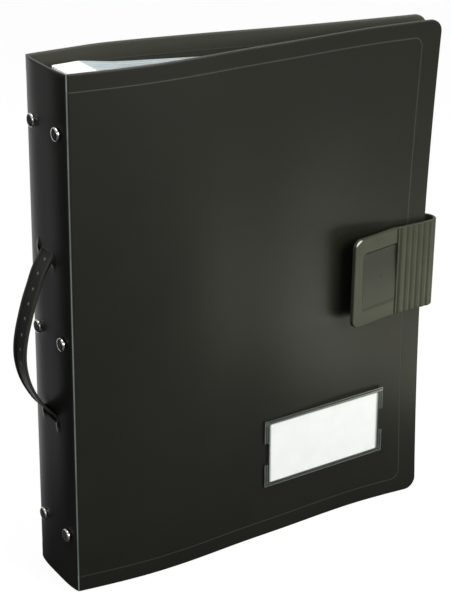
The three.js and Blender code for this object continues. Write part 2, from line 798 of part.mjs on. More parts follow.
addPiece('closure_base', toGeometry(baseSolid), closurePlastic(), closureFrame);

// The base's two rivets, square to the plate.
closureRivetRows.forEach((z, index) => {
  const grip = closureThickness + baseSeat + sheetThickness + seatGap;
  const mesh = addPiece(`closure_rivet_${index + 1}`, rivet(grip), nickel(), closureFrame);
  mesh.position.set(rivetReach, closureThickness / 2, z);
});

// The flexible bend between the base and the front band.
const gapTurn = seatGap / 2 / bendRadius;
const bendFrom = Math.PI / 2 + baseAngle - gapTurn;
const bendTo = -Math.PI / 2 + gapTurn;
const bendShape = new THREE.Shape();
bendShape.absarc(
  bendCentre.x, bendCentre.y, bendRadius + closureThickness / 2, bendFrom, bendTo, true,
);
bendShape.absarc(
  bendCentre.x, bendCentre.y, bendRadius - closureThickness / 2, bendTo, bendFrom, false,
);
const bendBody = extrude(bendShape, closureHeight, bendColumns);
addPiece('closure_bend', bendBody, closurePlastic()).position.z = closureBottom;

// Front band and tab in one moulding: grooves, a ridge, a flex groove and a framed, flared tab.
const bandRight = bandStart.x - seatGap / 2;
const bandBack = closureFrontLevel + closureThickness;
const grooveStart = bandRight - bandGroovePitch * bandStartShare;
const bandOutline = [
  new THREE.Vector2(bandRight, bandBack),
  new THREE.Vector2(bandRight, closureFrontLevel),
];
for (let groove = 0; groove < bandGrooves; groove += 1) {
  const centre = grooveStart - groove * bandGroovePitch;
  bandOutline.push(new THREE.Vector2(centre + bandGrooveWidth / 2, closureFrontLevel));
  bandOutline.push(new THREE.Vector2(centre, closureFrontLevel + bandGrooveDepth));
  bandOutline.push(new THREE.Vector2(centre - bandGrooveWidth / 2, closureFrontLevel));
}
const ridgeLeft = tabHinge.x + flexGrooveWidth;
const bandLeft = tabHinge.x - flexGrooveWidth * flexUnderShare;
const ridgeRight = ridgeLeft + ridgeWidth;
const ridgeFlank = ridgeWidth * flankShare;
const ridgeCrest = closureFrontLevel - ridgeHeight;
const grooveFloor = closureFrontLevel + flexGrooveDepth;
bandOutline.push(new THREE.Vector2(ridgeRight, closureFrontLevel));
bandOutline.push(new THREE.Vector2(ridgeRight - ridgeFlank, ridgeCrest));
bandOutline.push(new THREE.Vector2(ridgeLeft + ridgeFlank, ridgeCrest));
bandOutline.push(new THREE.Vector2(ridgeLeft, closureFrontLevel));
bandOutline.push(new THREE.Vector2(ridgeLeft - flexGrooveWidth * flankShare, grooveFloor));
bandOutline.push(new THREE.Vector2(bandLeft, grooveFloor));
bandOutline.push(new THREE.Vector2(bandLeft, bandBack));
const bandBlank = extrude(new THREE.Shape(bandOutline.reverse()), closureHeight);
bandBlank.translate(0, 0, closureBottom);

const tabShape = roundedRectangle(
  -tabLength, closureBottom, tabLength + tabCornerRadius, closureHeight, tabCornerRadius,
);
const tabBlank = extrude(tabShape, tabThickness).applyMatrix4(facingCover);
tabBlank.translate(0, tabThickness, 0);
const closureTop = closureBottom + closureHeight;
const tabTrim = boxBetween(
  new THREE.Vector3(0, -overrun, closureBottom - overrun),
  new THREE.Vector3(tabCornerRadius + overrun, tabThickness + overrun, closureTop + overrun),
);
const recessLeft = tabFrameSide - tabLength;
const recessHeight = closureHeight - 2 * tabFrameEnd;
const recessShape = roundedRectangle(
  recessLeft, closureBottom + tabFrameEnd, tabRecessRadius - recessLeft, recessHeight, tabRecessRadius,
);
const recessTool = extrude(recessShape, tabRecessDepth + overrun).applyMatrix4(facingCover);
recessTool.translate(0, tabRecessDepth, 0);
const toTab = (geometry) => geometry.rotateZ(tabFlare).translate(tabHinge.x, closureFrontLevel, 0);
const tabSolid = cut(toSolid(toTab(tabBlank)), [toTab(tabTrim), toTab(recessTool)]);

// The stud stands behind the recess and ends inside the socket on the front cover.
const tabBackAt = (x) => {
  const along = (tabHinge.x - x) / Math.cos(tabFlare);
  const back = tabThickness * (1 / Math.cos(tabFlare));
  return closureFrontLevel - along * Math.sin(tabFlare) + back;
};
const socketFace = tabBackAt(studX + socketBossRadius) + seatGap;
const studTool = barAlongY(
  studRadius, tabBackAt(studX) - tabThickness / 3, socketFace + studDepth, studX, centreHeight,
);
const closureTab = join(toSolid(bandBlank).add(tabSolid), [studTool]);
addPiece('closure_tab', toGeometry(closureTab), closurePlastic());

// Socket of the press stud, held through the front cover by a washer inside.
const coverAtStud = Math.min(
  frontFace(studX - socketFlangeRadius, centreHeight),
  frontFace(studX + socketFlangeRadius, centreHeight),
  frontFace(studX, centreHeight),
);
const insideAtStud = sheetThickness + Math.max(
  frontFace(studX - washerRadius, centreHeight),
  frontFace(studX + washerRadius, centreHeight),
  frontFace(studX, centreHeight),
);
const flangeBack = coverAtStud - seatGap;
const stemEnd = insideAtStud + seatGap + washerThickness;
const socketOutline = [
  [0, stemEnd],
  [socketStemRadius, stemEnd],
  [socketStemRadius, flangeBack],
  [socketFlangeRadius, flangeBack],
  [socketFlangeRadius, flangeBack - socketFlangeThickness],
  [socketBossRadius, flangeBack - socketFlangeThickness],
  [socketBossRadius, socketFace],
  [studRadius + seatGap, socketFace],
  [studRadius + seatGap, socketFace + studDepth + seatGap],
  [0, socketFace + studDepth + seatGap],
];
const socketBody = new THREE.LatheGeometry(
  socketOutline.map(([radius, y]) => new THREE.Vector2(radius, -y)), roundSides,
);
socketBody.rotateX(Math.PI);
addPiece('closure_socket', socketBody, closurePlastic()).position.set(studX, 0, centreHeight);

const washerInner = socketStemRadius + slidingGap;
const washerOutline = [
  [washerInner, insideAtStud + seatGap],
  [washerRadius, insideAtStud + seatGap],
  [washerRadius, stemEnd],
  [washerInner, stemEnd],
  [washerInner, insideAtStud + seatGap],
];
const washerBody = new THREE.LatheGeometry(
  washerOutline.map(([radius, y]) => new THREE.Vector2(radius, y)), roundSides,
);
addPiece('closure_washer', washerBody, nickel()).position.set(studX, 0, centreHeight);

// Label holder and card lie in one flat frame fitted to the front cover's face.
const labelRight = labelLeft + holderWidth;
const labelTop = labelBottom + holderHeight;
const labelCorner = (x, z) => new THREE.Vector3(x, frontFace(x, z), z);
const labelFoot = labelCorner(labelLeft, labelBottom);
const labelAcross = labelCorner(labelRight, labelBottom).sub(labelFoot).normalize();
const labelUp = labelCorner(labelLeft, labelTop).sub(labelFoot);
labelUp.addScaledVector(labelAcross, -labelUp.dot(labelAcross)).normalize();
const labelOut = labelAcross.clone().cross(labelUp);
const labelFrame = new THREE.Group();
const labelSeat = labelFoot.clone().addScaledVector(labelOut, seatGap);
labelFrame.position.copy(labelSeat);
labelFrame.quaternion.setFromRotationMatrix(
  new THREE.Matrix4().makeBasis(labelAcross, labelUp, labelOut),
);
binder.add(labelFrame);

// Holder: a clear window on rails at its two sides and its foot, open at the top.
const holderPlate = toSolid(boxBetween(
  new THREE.Vector3(0, 0, 0), new THREE.Vector3(holderWidth, holderHeight, holderThickness),
));
const pocketSpace = boxBetween(
  new THREE.Vector3(holderRail, holderRail, -overrun),
  new THREE.Vector3(holderWidth - holderRail, holderHeight + overrun, holderThickness - holderWindow),
);
const notchBottom = (holderHeight - thumbNotchHeight) / 2;
const notchTop = notchBottom + thumbNotchHeight;
const notches = [-overrun, holderWidth - thumbNotchDepth].map((left) => boxBetween(
  new THREE.Vector3(left, notchBottom, holderThickness - holderWindow),
  new THREE.Vector3(left + thumbNotchDepth + overrun, notchTop, holderThickness + overrun),
));
addPiece(
  'label_holder', toGeometry(cut(holderPlate, [pocketSpace, ...notches])), clearPlastic(), labelFrame,
);

const cardLeft = (holderWidth - cardWidth) / 2;
const cardBack = (holderThickness - holderWindow - cardThickness) / 2;
addPiece('label_card', boxBetween(
  new THREE.Vector3(cardLeft, cardRise, cardBack),
  new THREE.Vector3(cardLeft + cardWidth, cardRise + cardHeight, cardBack + cardThickness),
), card(), labelFrame);

// The origin lies under the middle of the whole binder, on the surface that it stands on.
placed.updateMatrixWorld(true);
const extent = new THREE.Box3().setFromObject(placed, true);
const middleX = (extent.min.x + extent.max.x) / 2;
const middleY = (extent.min.y + extent.max.y) / 2;
binder.position.set(-middleX, -middleY, -extent.min.z);

export default placed;
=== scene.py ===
import json
import math

import bpy
from mathutils import Matrix, Vector


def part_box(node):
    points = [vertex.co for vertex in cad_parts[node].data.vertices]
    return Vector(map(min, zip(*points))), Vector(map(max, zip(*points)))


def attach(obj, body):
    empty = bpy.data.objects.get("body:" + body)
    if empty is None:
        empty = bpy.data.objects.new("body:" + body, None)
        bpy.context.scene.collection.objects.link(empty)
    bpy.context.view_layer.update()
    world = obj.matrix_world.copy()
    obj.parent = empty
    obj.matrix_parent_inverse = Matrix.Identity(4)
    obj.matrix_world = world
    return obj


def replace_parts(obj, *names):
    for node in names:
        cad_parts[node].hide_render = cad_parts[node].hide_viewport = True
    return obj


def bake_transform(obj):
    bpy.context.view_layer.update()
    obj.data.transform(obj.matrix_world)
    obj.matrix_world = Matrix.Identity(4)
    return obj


bl_info = {
    "name": "Ring binder dressing",
    "version": (1, 0, 0),
    "blender": (4, 5, 0),
    "location": "3D View > Sidebar > Binder",
    "description": "Dresses the packed ring binder: folded sheet, strap, closure, rings, pockets and label",
    "category": "Object",
}

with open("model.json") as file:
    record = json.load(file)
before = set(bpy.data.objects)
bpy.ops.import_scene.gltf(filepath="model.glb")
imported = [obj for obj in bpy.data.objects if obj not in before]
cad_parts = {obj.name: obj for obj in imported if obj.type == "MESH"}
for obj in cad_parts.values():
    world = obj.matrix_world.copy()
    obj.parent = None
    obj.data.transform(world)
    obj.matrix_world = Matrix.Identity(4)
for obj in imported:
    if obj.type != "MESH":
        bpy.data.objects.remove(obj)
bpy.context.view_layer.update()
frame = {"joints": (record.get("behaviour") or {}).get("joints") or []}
JOINTS = {joint["name"]: joint for joint in frame["joints"]}

# Drawings are in millimetres from the corner where the front cover meets the spine:
# x runs to the fore-edge, y to the back cover and z up.
CORNER = Vector(JOINTS["front_cover_hinge"]["pos_m"]) * 1000
CORNER.z = 0
MILLIMETRE = 0.001

HEIGHT = 320.0
WIDTH = 253.4
DEPTH = 49.1
MIDDLE = DEPTH / 2
CENTRE = HEIGHT / 2
SHEET = 1.4
FOLD = 1.1
CORNER_RADIUS = 8.0

FRONT_SHAPE = [(0, 0), (0.18, -1), (0.355, -0.76), (0.435, -0.42), (0.59, 0.01), (0.81, 0.6), (1, 0)]
BACK_SHAPE = [
    (0, 1), (0.1, 1.0244), (0.197, 1.0326), (0.414, 0.8595), (0.612, 0.6517), (0.81, 0.4786), (1, 0.338),
]
FRONT_BULGE = 4.6
CLASP_PULL = 6.3
SPINE_BOW = 1.9
CURVE_SWEEPS = 60
SEAT_GAP = 0.3

RIVET_PITCH_UP = 125.0
RIVET_PITCH_ACROSS = 30.2
RIVET_PLACES = [
    (side, MIDDLE + side * RIVET_PITCH_ACROSS / 2, CENTRE + row * RIVET_PITCH_UP)
    for row in (-1, 0, 1) for side in (-1, 1)
]

STRAP_MIDDLE = MIDDLE + 2
STRAP_WIDTH = 15.5
STRAP_THICKNESS = 1.6
STRAP_REACH = 18.4
SLOT_PITCH = 100.0
SLOT_HEIGHT = 8.4
TONGUE_LENGTH = 20.0
STOP_LENGTH = 6.0
STOP_WIDTH = 21.0

CLOSURE_HEIGHT = 58.6
CLOSURE_THICKNESS = 1.8
CLOSURE_LOW = CENTRE - CLOSURE_HEIGHT / 2
CLOSURE_HIGH = CENTRE + CLOSURE_HEIGHT / 2
CLOSURE_RIVET_PITCH = 36.0
CLOSURE_RIVET_INSET = 15.0
BASE_LENGTH = 52.0
BASE_SEAT = 0.45
CLOSURE_REACH = 3.64
BAND_FRONT = 2.8
BAND_LENGTH = 25.24
TAB_LENGTH = 39.5
TAB_THICKNESS = 2.6
TAB_FLARE = math.radians(11.2)
TAB_CORNER = 6.0
STUD_INSET = 17.0

RING_PITCH = 80.0
RING_ROWS = [CENTRE + (ring - 1.5) * RING_PITCH for ring in range(4)]
WIRE_RADIUS = 1.6
WIRE_SIDES = 20
BINDING_EDGE = 10.1

LABEL_LEFT, LABEL_BOTTOM = 131.5, 34.5
LABEL_WIDTH, LABEL_HEIGHT = 93.5, 45.5


# Shapes shared with the solids


def smooth_table(rows):
    """A smooth curve through rows of place and value."""
    slopes = []
    for index in range(len(rows)):
        before = rows[max(index - 1, 0)]
        after = rows[min(index + 1, len(rows) - 1)]
        slopes.append((after[1] - before[1]) / (after[0] - before[0]))

    def value(place):
        index = len(rows) - 1
        for step in range(1, len(rows)):
            if place <= rows[step][0]:
                index = step
                break
        start, start_value = rows[index - 1]
        end, end_value = rows[index]
        span = end - start
        s = (place - start) / span
        rise = s * s * (3 - 2 * s)
        lean = s * (1 - s) ** 2 * span * slopes[index - 1] + s * s * (s - 1) * span * slopes[index]
        return start_value + (end_value - start_value) * rise + lean

    return value


def rounding(near, radius):
    """How far a rounded edge falls back, at a distance near in from it."""
    return radius - math.sqrt(max(radius ** 2 - (radius - min(near, radius)) ** 2, 0))


def even_curve(rows):
    """A curve through rows of place and value whose bend changes evenly, so it shows no line of its own."""
    gaps = [after[0] - before[0] for before, after in zip(rows, rows[1:])]
    rises = [after[1] - before[1] for before, after in zip(rows, rows[1:])]
    bends = [0.0] * len(rows)
    for sweep in range(CURVE_SWEEPS):
        for index in range(1, len(rows) - 1):
            before, after = gaps[index - 1], gaps[index]
            change = 6 * (rises[index] / after - rises[index - 1] / before)
            neighbours = before * bends[index - 1] + after * bends[index + 1]
            bends[index] = (change - neighbours) / (2 * (before + after))

    def value(place):
        index = 0
        while index < len(gaps) - 1 and place > rows[index + 1][0]:
            index += 1
        gap = gaps[index]
        share = (place - rows[index][0]) / gap
        rest = 1 - share
        bow = (rest ** 3 - rest) * bends[index] + (share ** 3 - share) * bends[index + 1]
        return rest * rows[index][1] + share * rows[index + 1][1] + bow * gap * gap / 6

    return value


front_shape = even_curve(FRONT_SHAPE)
back_shape = smooth_table(BACK_SHAPE)


def front_face(x, z):
    """Outer face of the front cover, drawn in at the fore-edge by the closure."""
    across = max(x, 0) / WIDTH
    up = max(math.sin(math.pi * min(max(z / HEIGHT, 0), 1)), 0)
    return FRONT_BULGE * front_shape(across) + CLASP_PULL * across ** 1.5 * up ** 0.9


def back_face(x, z=0):
    return DEPTH * back_shape(x / WIDTH)


def spine_face(y):
    away = abs(y - MIDDLE) / MIDDLE
    return -SPINE_BOW * (1 - away ** 4)


def smooth_step(low, high, value):
    s = min(max((value - low) / (high - low), 0), 1)
    return s * s * (3 - 2 * s)


def lerp(start, end, share):
    return start + (end - start) * share


def stations(*runs):
    """Places along a piece from (start, end, spacing) runs, each run ending where the next begins."""
    places = [runs[0][0]]
    for start, end, spacing in runs:
        steps = max(round(abs(end - start) / spacing), 1)
        places += [lerp(start, end, step / steps) for step in range(1, steps + 1)]
    return places


def deselect():
    if bpy.context.mode != "OBJECT":
        bpy.ops.object.mode_set(mode="OBJECT")
    bpy.ops.object.select_all(action="DESELECT")


def activate(piece):
    deselect()
    piece.select_set(True)
    bpy.context.view_layer.objects.active = piece


def pick(piece, kind, test):
    """Goes into edit mode with the faces, edges or corners selected for which test holds."""
    activate(piece)
    bpy.ops.object.mode_set(mode="EDIT")
    bpy.ops.mesh.select_mode(type=kind)
    bpy.ops.mesh.select_all(action="DESELECT")
    bpy.ops.object.mode_set(mode="OBJECT")
    mesh = piece.data
    group = {"VERT": mesh.vertices, "EDGE": mesh.edges, "FACE": mesh.polygons}[kind]
    for element in group:
        if kind == "EDGE":
            a, b = (mesh.vertices[index].co for index in element.vertices)
            element.select = test((a + b) / 2, (b - a))
        elif kind == "FACE":
            element.select = test(element.center, element.normal)
        else:
            element.select = test(element.co, element.normal)
    bpy.ops.object.mode_set(mode="EDIT")


def done():
    bpy.ops.object.mode_set(mode="OBJECT")


def on_all(piece, *steps):
    """Runs edit steps on the whole of a piece."""
    activate(piece)
    bpy.ops.object.mode_set(mode="EDIT")
    bpy.ops.mesh.select_all(action="SELECT")
    for step in steps:
        step()
    done()


def cut(piece, test):
    """Deletes the faces for which test holds."""
    pick(piece, "FACE", test)
    bpy.ops.mesh.delete(type="FACE")
    done()


def drawn_box(node):
    """The two corners of a solid's box, in the drawing's millimetres."""
    return [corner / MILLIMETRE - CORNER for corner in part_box(node)]


def new_grid(name, columns, rows, place):
    """A grid with its corners laid on a surface: place(column, row) gives each corner."""
    deselect()
    bpy.ops.mesh.primitive_grid_add(x_subdivisions=columns, y_subdivisions=rows, size=1)
    piece = bpy.context.active_object
    piece.name = name
    for corner in piece.data.vertices:
        column = round((corner.co.x + 0.5) * columns)
        row = round((corner.co.y + 0.5) * rows)
        corner.co = place(column, row)
    return piece


def swept(name, loops, closed_ends=True):
    """A skin over closed loops of points, each the section of the piece at its place."""
    around = len(loops[0])
    piece = new_grid(name, len(loops) - 1, around, lambda column, row: loops[column][row % around])
    activate(piece)
    bpy.ops.object.mode_set(mode="EDIT")
    bpy.ops.mesh.select_all(action="SELECT")
    bpy.ops.mesh.remove_doubles(threshold=1e-4)
    if closed_ends:
        bpy.ops.mesh.select_mode(type="EDGE")
        bpy.ops.mesh.select_all(action="DESELECT")
        bpy.ops.mesh.select_non_manifold()
        bpy.ops.mesh.fill_holes(sides=0)
    bpy.ops.mesh.select_all(action="SELECT")
    bpy.ops.mesh.normals_make_consistent(inside=False)
    done()
    return piece


def turned(name, outline, sides=40):
    """A turned piece about Z: a disc extruded and scaled from one radius of the outline to the next."""
    deselect()
    radius, height = outline[0]
    bpy.ops.mesh.primitive_circle_add(
        vertices=sides, radius=radius, fill_type="NGON", location=(0, 0, height)
    )
    piece = bpy.context.active_object
    piece.name = name
    bpy.ops.object.transform_apply(location=True, rotation=True, scale=True)
    bpy.ops.object.mode_set(mode="EDIT")
    bpy.ops.mesh.select_mode(type="FACE")
    bpy.ops.mesh.select_all(action="SELECT")
    for next_radius, next_height in outline[1:]:
        bpy.ops.mesh.extrude_region_move(
            TRANSFORM_OT_translate={"value": (0, 0, next_height - height)}
        )
        scale = next_radius / radius
        bpy.ops.transform.resize(value=(scale, scale, 1), center_override=(0, 0, next_height))
        radius, height = next_radius, next_height
    bpy.ops.mesh.select_all(action="SELECT")
    bpy.ops.mesh.normals_make_consistent(inside=False)
    done()
    return piece


UPRIGHT_SEGMENTS = 6


def block(name, low, high, edge=0.0, segments=2, upright=None):
    """A block between two corners; its edges along one axis can be rounded first, then all of them."""
    deselect()
    low, high = Vector(low), Vector(high)
    bpy.ops.mesh.primitive_cube_add(size=1, location=(low + high) / 2, scale=high - low)
    piece = bpy.context.active_object
    piece.name = name
    bpy.ops.object.transform_apply(location=True, rotation=True, scale=True)
    if upright:
        axis, radius, test = upright
        pick(piece, "EDGE", lambda centre, along: abs(along[axis]) > 0.99 * along.length and test(centre))
        bpy.ops.mesh.bevel(offset=radius, segments=UPRIGHT_SEGMENTS, affect="EDGES")
        done()
    if edge:
        soften(piece, edge, segments)
    return piece


def modify(piece, kind, **settings):
    """Adds a modifier and applies it."""
    activate(piece)
    bpy.ops.object.modifier_add(type=kind)
    modifier = piece.modifiers[-1]
    for setting, value in settings.items():
        setattr(modifier, setting, value)
    bpy.ops.object.modifier_apply(modifier=modifier.name)


def soften(piece, width, segments=2, angle=40):
    modify(
        piece, "BEVEL", width=width, segments=segments, limit_method="ANGLE",
        angle_limit=math.radians(angle), harden_normals=False,
    )


def joined(pieces, name):
    activate(pieces[0])
    for piece in pieces[1:]:
        piece.select_set(True)
    bpy.ops.object.join()
    pieces[0].name = name
    pieces[0].data.name = name
    return pieces[0]


def turn(piece, matrix):
    piece.data.transform(matrix)
    if matrix.determinant() < 0:
        piece.data.flip_normals()


def settle(piece, finishes, smooth=35):
    """Brings a drawn piece into the frame, gives it its finishes and shades it."""
    piece.data.transform(Matrix.Translation(CORNER))
    piece.data.transform(Matrix.Scale(MILLIMETRE, 4))
    piece.data.name = piece.name
    indices = [face.material_index for face in piece.data.polygons]
    piece.data.materials.clear()
    for name in finishes:
        piece.data.materials.append(finish_of(name))
    for face, index in zip(piece.data.polygons, indices):
        face.material_index = min(index, len(finishes) - 1)
    activate(piece)
    bpy.ops.object.shade_smooth_by_angle(angle=math.radians(smooth))
    deselect()
    return piece


def carry(piece, body, nodes=()):
    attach(piece, body)
    if nodes:
        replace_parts(piece, *nodes)


def paint(piece, index, test):
    """Gives the faces for which test holds the finish of that index."""
    for face in piece.data.polygons:
        if test(face.center, face.normal):
            face.material_index = index


def measure(piece, name, value):
    """Stores a value at each corner of a piece, for its finish to read."""
    layer = piece.data.attributes.new(name, "FLOAT", "POINT")
    for corner, entry in zip(piece.data.vertices, layer.data):
        entry.value = value(corner.co)


# Finishes


class Wire:
    """One output of a shader node, so that sums on it read as sums."""

    def __init__(self, finish, socket):
        self.finish = finish
        self.socket = socket

    def maths(self, operation, first, second):
        return self.finish.node("Math", {"operation": operation}, {0: first, 1: second})

    def __add__(self, other):
        return self.maths("ADD", self, other)

    def __radd__(self, other):
        return self.maths("ADD", other, self)

    def __sub__(self, other):
        return self.maths("SUBTRACT", self, other)

    def __rsub__(self, other):
        return self.maths("SUBTRACT", other, self)

    def __mul__(self, other):
        return self.maths("MULTIPLY", self, other)

    def __rmul__(self, other):
        return self.maths("MULTIPLY", other, self)

    def __truediv__(self, other):
        return self.maths("DIVIDE", self, other)


class Finish:
    """A material under construction."""

    def __init__(self, name, **constants):
        self.material = bpy.data.materials.new(name)
        self.material.use_nodes = True
        self.tree = self.material.node_tree
        self.surface = self.tree.nodes["Principled BSDF"]
        for socket, value in constants.items():
            self.surface.inputs[socket.replace("_", " ")].default_value = value

    def node(self, kind, settings=None, sockets=None, output=0):
        """Adds a node with its settings first and then its sockets, and returns one output."""
        node = self.tree.nodes.new("ShaderNode" + kind)
        for setting, value in (settings or {}).items():
            setattr(node, setting, value)
        for socket, value in (sockets or {}).items():
            if isinstance(value, Wire):
                self.tree.links.new(value.socket, node.inputs[socket])
            else:
                node.inputs[socket].default_value = value
        return Wire(self, node.outputs[output])

    def place(self):
        return self.node("TexCoord", output="Object")

    def stretched(self, scale):
        """The place on the piece with each axis scaled, for streaks and brushed grain."""
        return self.node("Mapping", {}, {"Vector": self.place(), "Scale": scale})

    def noise(self, scale, detail=3.0, vector=None):
        sockets = {"Vector": vector or self.place(), "Scale": scale, "Detail": detail, "Roughness": 0.55}
        return self.node("TexNoise", {}, sockets, "Fac")

    def cells(self, scale):
        return self.node("TexVoronoi", {}, {"Vector": self.place(), "Scale": scale}, "Distance")

    def clouded(self, share, first, second, low=0.35, high=0.7):
        """A colour that drifts between two, as share goes from low to high."""
        return self.blend(self.band(share, low, high), colour(*first), colour(*second))

    def band(self, value, low, high):
        """0 below low and 1 above high, smoothly."""
        return self.node(
            "MapRange", {"interpolation_type": "SMOOTHSTEP"},
            {"Value": value, "From Min": low, "From Max": high, "To Min": 0.0, "To Max": 1.0},
        )

    def blend(self, share, first, second):
        """A colour between two."""
        node = self.tree.nodes.new("ShaderNodeMix")
        node.data_type = "RGBA"
        for socket, value in ((node.inputs[0], share), (node.inputs[6], first), (node.inputs[7], second)):
            if isinstance(value, Wire):
                self.tree.links.new(value.socket, socket)
            else:
                socket.default_value = value
        return Wire(self, node.outputs[2])

    def drive(self, socket, wire):
        self.tree.links.new(wire.socket, self.surface.inputs[socket])

    def bump(self, height, distance, strength=1.0):
        wire = self.node("Bump", {}, {"Height": height, "Distance": distance, "Strength": strength}, "Normal")
        self.drive("Normal", wire)

    def attribute(self, name):
        return self.node("Attribute", {"attribute_name": name}, {}, "Fac")


def colour(red, green, blue):
    return (red, green, blue, 1.0)


def darker(tint, share):
    return [part * share for part in tint]


def sheet_plastic():
    """Black polypropylene sheet: fine embossed grain, faint handling marks and paler pressed lines, whose
    pale colour is partly stress-whitening and partly a painted highlight of the groove.
    """
    look = bpy.context.scene.binder_colours
    finish = Finish("cover_sheet", Specular_IOR_Level=0.46)
    grain = finish.cells(1400)
    fine = finish.noise(5200, 2.0)
    cloud = finish.noise(26, 4.0)
    streaks = finish.noise(9, 3.0, vector=finish.stretched((1, 1, 0.25)))
    pressed = finish.attribute("pressed")
    base = finish.clouded(cloud, look.sheet, look.sheet_pale)
    # The pressed lines' paler colour: partly stress-whitened plastic, partly a painted highlight along the
    # groove.
    finish.drive("Base Color", finish.blend(pressed * 0.85, base, colour(*look.pressed)))
    finish.drive("Roughness", 0.31 + 0.05 * streaks + 0.05 * fine + 0.15 * pressed)
    finish.bump(grain * 0.7 + fine * 0.3, 0.00004, 0.35)
    return finish.material


def inner_sheet():
    """Inner face of the sheet: the same plastic with a matt, paler grain."""
    look = bpy.context.scene.binder_colours
    finish = Finish("sheet_inside", Specular_IOR_Level=0.5)
    grain = finish.cells(1100)
    cloud = finish.noise(22, 4.0)
    finish.drive("Base Color", finish.clouded(cloud, darker(look.inside, 0.85), look.inside))
    finish.drive("Roughness", 0.46 + 0.08 * cloud)
    finish.bump(grain, 0.00004, 0.4)
    return finish.material


def cut_edge_with_painted_highlight():
    """Cut rim of the sheet, rougher than its faces; its paler colour is partly the cut plastic's own and
    partly a painted highlight along the rims.
    """
    look = bpy.context.scene.binder_colours
    finish = Finish("cut_edge_with_painted_highlight", Roughness=0.5)
    grain = finish.noise(1800, 3.0, vector=finish.stretched((1, 1, 0.15)))
    patch = finish.noise(60, 3.0)
    finish.drive("Base Color", finish.clouded(patch, look.edge, look.edge_pale_highlight, 0.3))
    finish.drive("Roughness", 0.42 + 0.16 * grain)
    finish.bump(grain, 0.00005, 0.5)
    return finish.material


def crease_plastic():
    """Living hinge: polypropylene thinned and stressed until it pales."""
    look = bpy.context.scene.binder_colours
    finish = Finish("hinge_crease", Roughness=0.4)
    strain = finish.noise(700, 4.0, vector=finish.stretched((1, 1, 0.04)))
    patch = finish.noise(45, 3.0)
    pale = finish.clouded(patch * 0.6 + strain * 0.4, look.crease, look.crease_pale, 0.35, 0.65)
    finish.drive("Base Color", finish.blend(finish.attribute("pressed"), colour(*look.sheet), pale))
    finish.drive("Roughness", 0.34 + 0.16 * strain)
    finish.bump(strain, 0.00006, 0.5)
    return finish.material


def strap_plastic(name, base_name):
    """Moulded strap: near-black with a spark-eroded skin, polished in its dimples, where a pale colour is
    painted in as their glint.
    """
    look = bpy.context.scene.binder_colours
    finish = Finish(name, Specular_IOR_Level=0.22)
    grain = finish.noise(3600, 3.0)
    wear = finish.noise(110, 4.0)
    base = getattr(look, base_name)
    polish = finish.attribute("polish")
    skin = finish.clouded(wear, base, [part + 0.003 for part in base], 0.4, 0.75)
    # In the dimples the colour turns pale grey: a painted highlight for their glint.
    finish.drive("Base Color", finish.blend(polish, skin, colour(0.16, 0.17, 0.155)))
    finish.drive("Roughness", (0.42 + 0.1 * grain) * (1 - 0.68 * polish))
    finish.bump(grain, 0.00005, 0.5)
    return finish.material


def closure_plastic():
    """Moulded closure: olive-black with a fine satin skin; its recess is painted darker by its depth, deepest
    at the top, as shade.
    """
    look = bpy.context.scene.binder_colours
    finish = Finish("closure_plastic", Specular_IOR_Level=0.3, Coat_Roughness=0.06)
    grain = finish.noise(4200, 2.0)
    cloud = finish.noise(70, 4.0)
    base = finish.clouded(cloud, look.closure, look.closure_pale)
    hollow = finish.attribute("hollow")
    polish = finish.attribute("polish")
    # The recess is painted darker by its depth: painted shade in the hollow.
    finish.drive("Base Color", finish.blend(hollow * 0.6, base, colour(0.004, 0.0045, 0.003)))
    finish.drive("Roughness", (0.38 + 0.08 * grain + 0.05 * cloud) * (1 - 0.7 * polish))
    finish.drive("Coat Weight", polish)
    finish.bump(grain, 0.00003, 0.35)
    return finish.material


def plated_metal(name, tint, roughness, along=(1, 1, 1), scratch=0.3):
    """Nickel-plated metal with faint polishing marks and a slightly clouded plating."""
    finish = Finish(name, Metallic=1.0)
    cloud = finish.noise(240, 4.0)
    marks = finish.noise(2600, 3.0, vector=finish.stretched(along))
    finish.drive("Base Color", finish.clouded(cloud, darker(tint, 0.82), tint))
    finish.drive("Roughness", roughness + 0.12 * cloud * marks + 0.03 * marks)
    finish.bump(marks, 0.000012, scratch)
    return finish.material


def pocket_film():
    """Soft translucent film: faint blue, with long shallow ripples."""
    finish = Finish("pocket_film", Specular_IOR_Level=0.4)
    ripple = finish.noise(40, 3.0, vector=finish.stretched((1, 1, 0.2)))
    pebble = finish.cells(900)
    finish.drive("Base Color", finish.clouded(ripple, (0.42, 0.48, 0.51), (0.52, 0.58, 0.61), 0.3))
    finish.drive("Roughness", 0.32 + 0.14 * ripple)
    finish.bump(pebble * 0.3 + ripple, 0.00005, 0.4)
    return finish.material


def binding_strip():
    """White reinforcing strip of the pockets."""
    finish = Finish("binding_strip", Roughness=0.45)
    weld = finish.noise(1500, 2.0)
    cloud = finish.noise(50, 3.0)
    finish.drive("Base Color", finish.clouded(cloud, (0.92, 0.92, 0.92), (0.95, 0.95, 0.95), 0.3))
    finish.drive("Roughness", 0.42 + 0.12 * weld)
    finish.bump(weld, 0.00004, 0.4)
    return finish.material


def clear_plastic(name, tint, alpha, roughness):
    """Clear film of the label holder, with a slight haze; its welds and rims are milky, and along its top the
    milky colour is partly a painted highlight.
    """
    finish = Finish(name, Coat_Weight=0.6, Coat_Roughness=0.08)
    haze = finish.noise(300, 4.0)
    weld = finish.attribute("weld")
    clear = finish.blend(haze, colour(*darker(tint, 0.8)), colour(*tint))
    finish.drive("Base Color", finish.blend(weld, clear, colour(0.42, 0.47, 0.43)))
    finish.drive("Roughness", roughness + 0.1 * haze + 0.2 * weld)
    finish.drive("Alpha", alpha + (0.75 - alpha) * weld)
    finish.bump(finish.noise(90, 2.0), 0.00004, 0.3)
    return finish.material


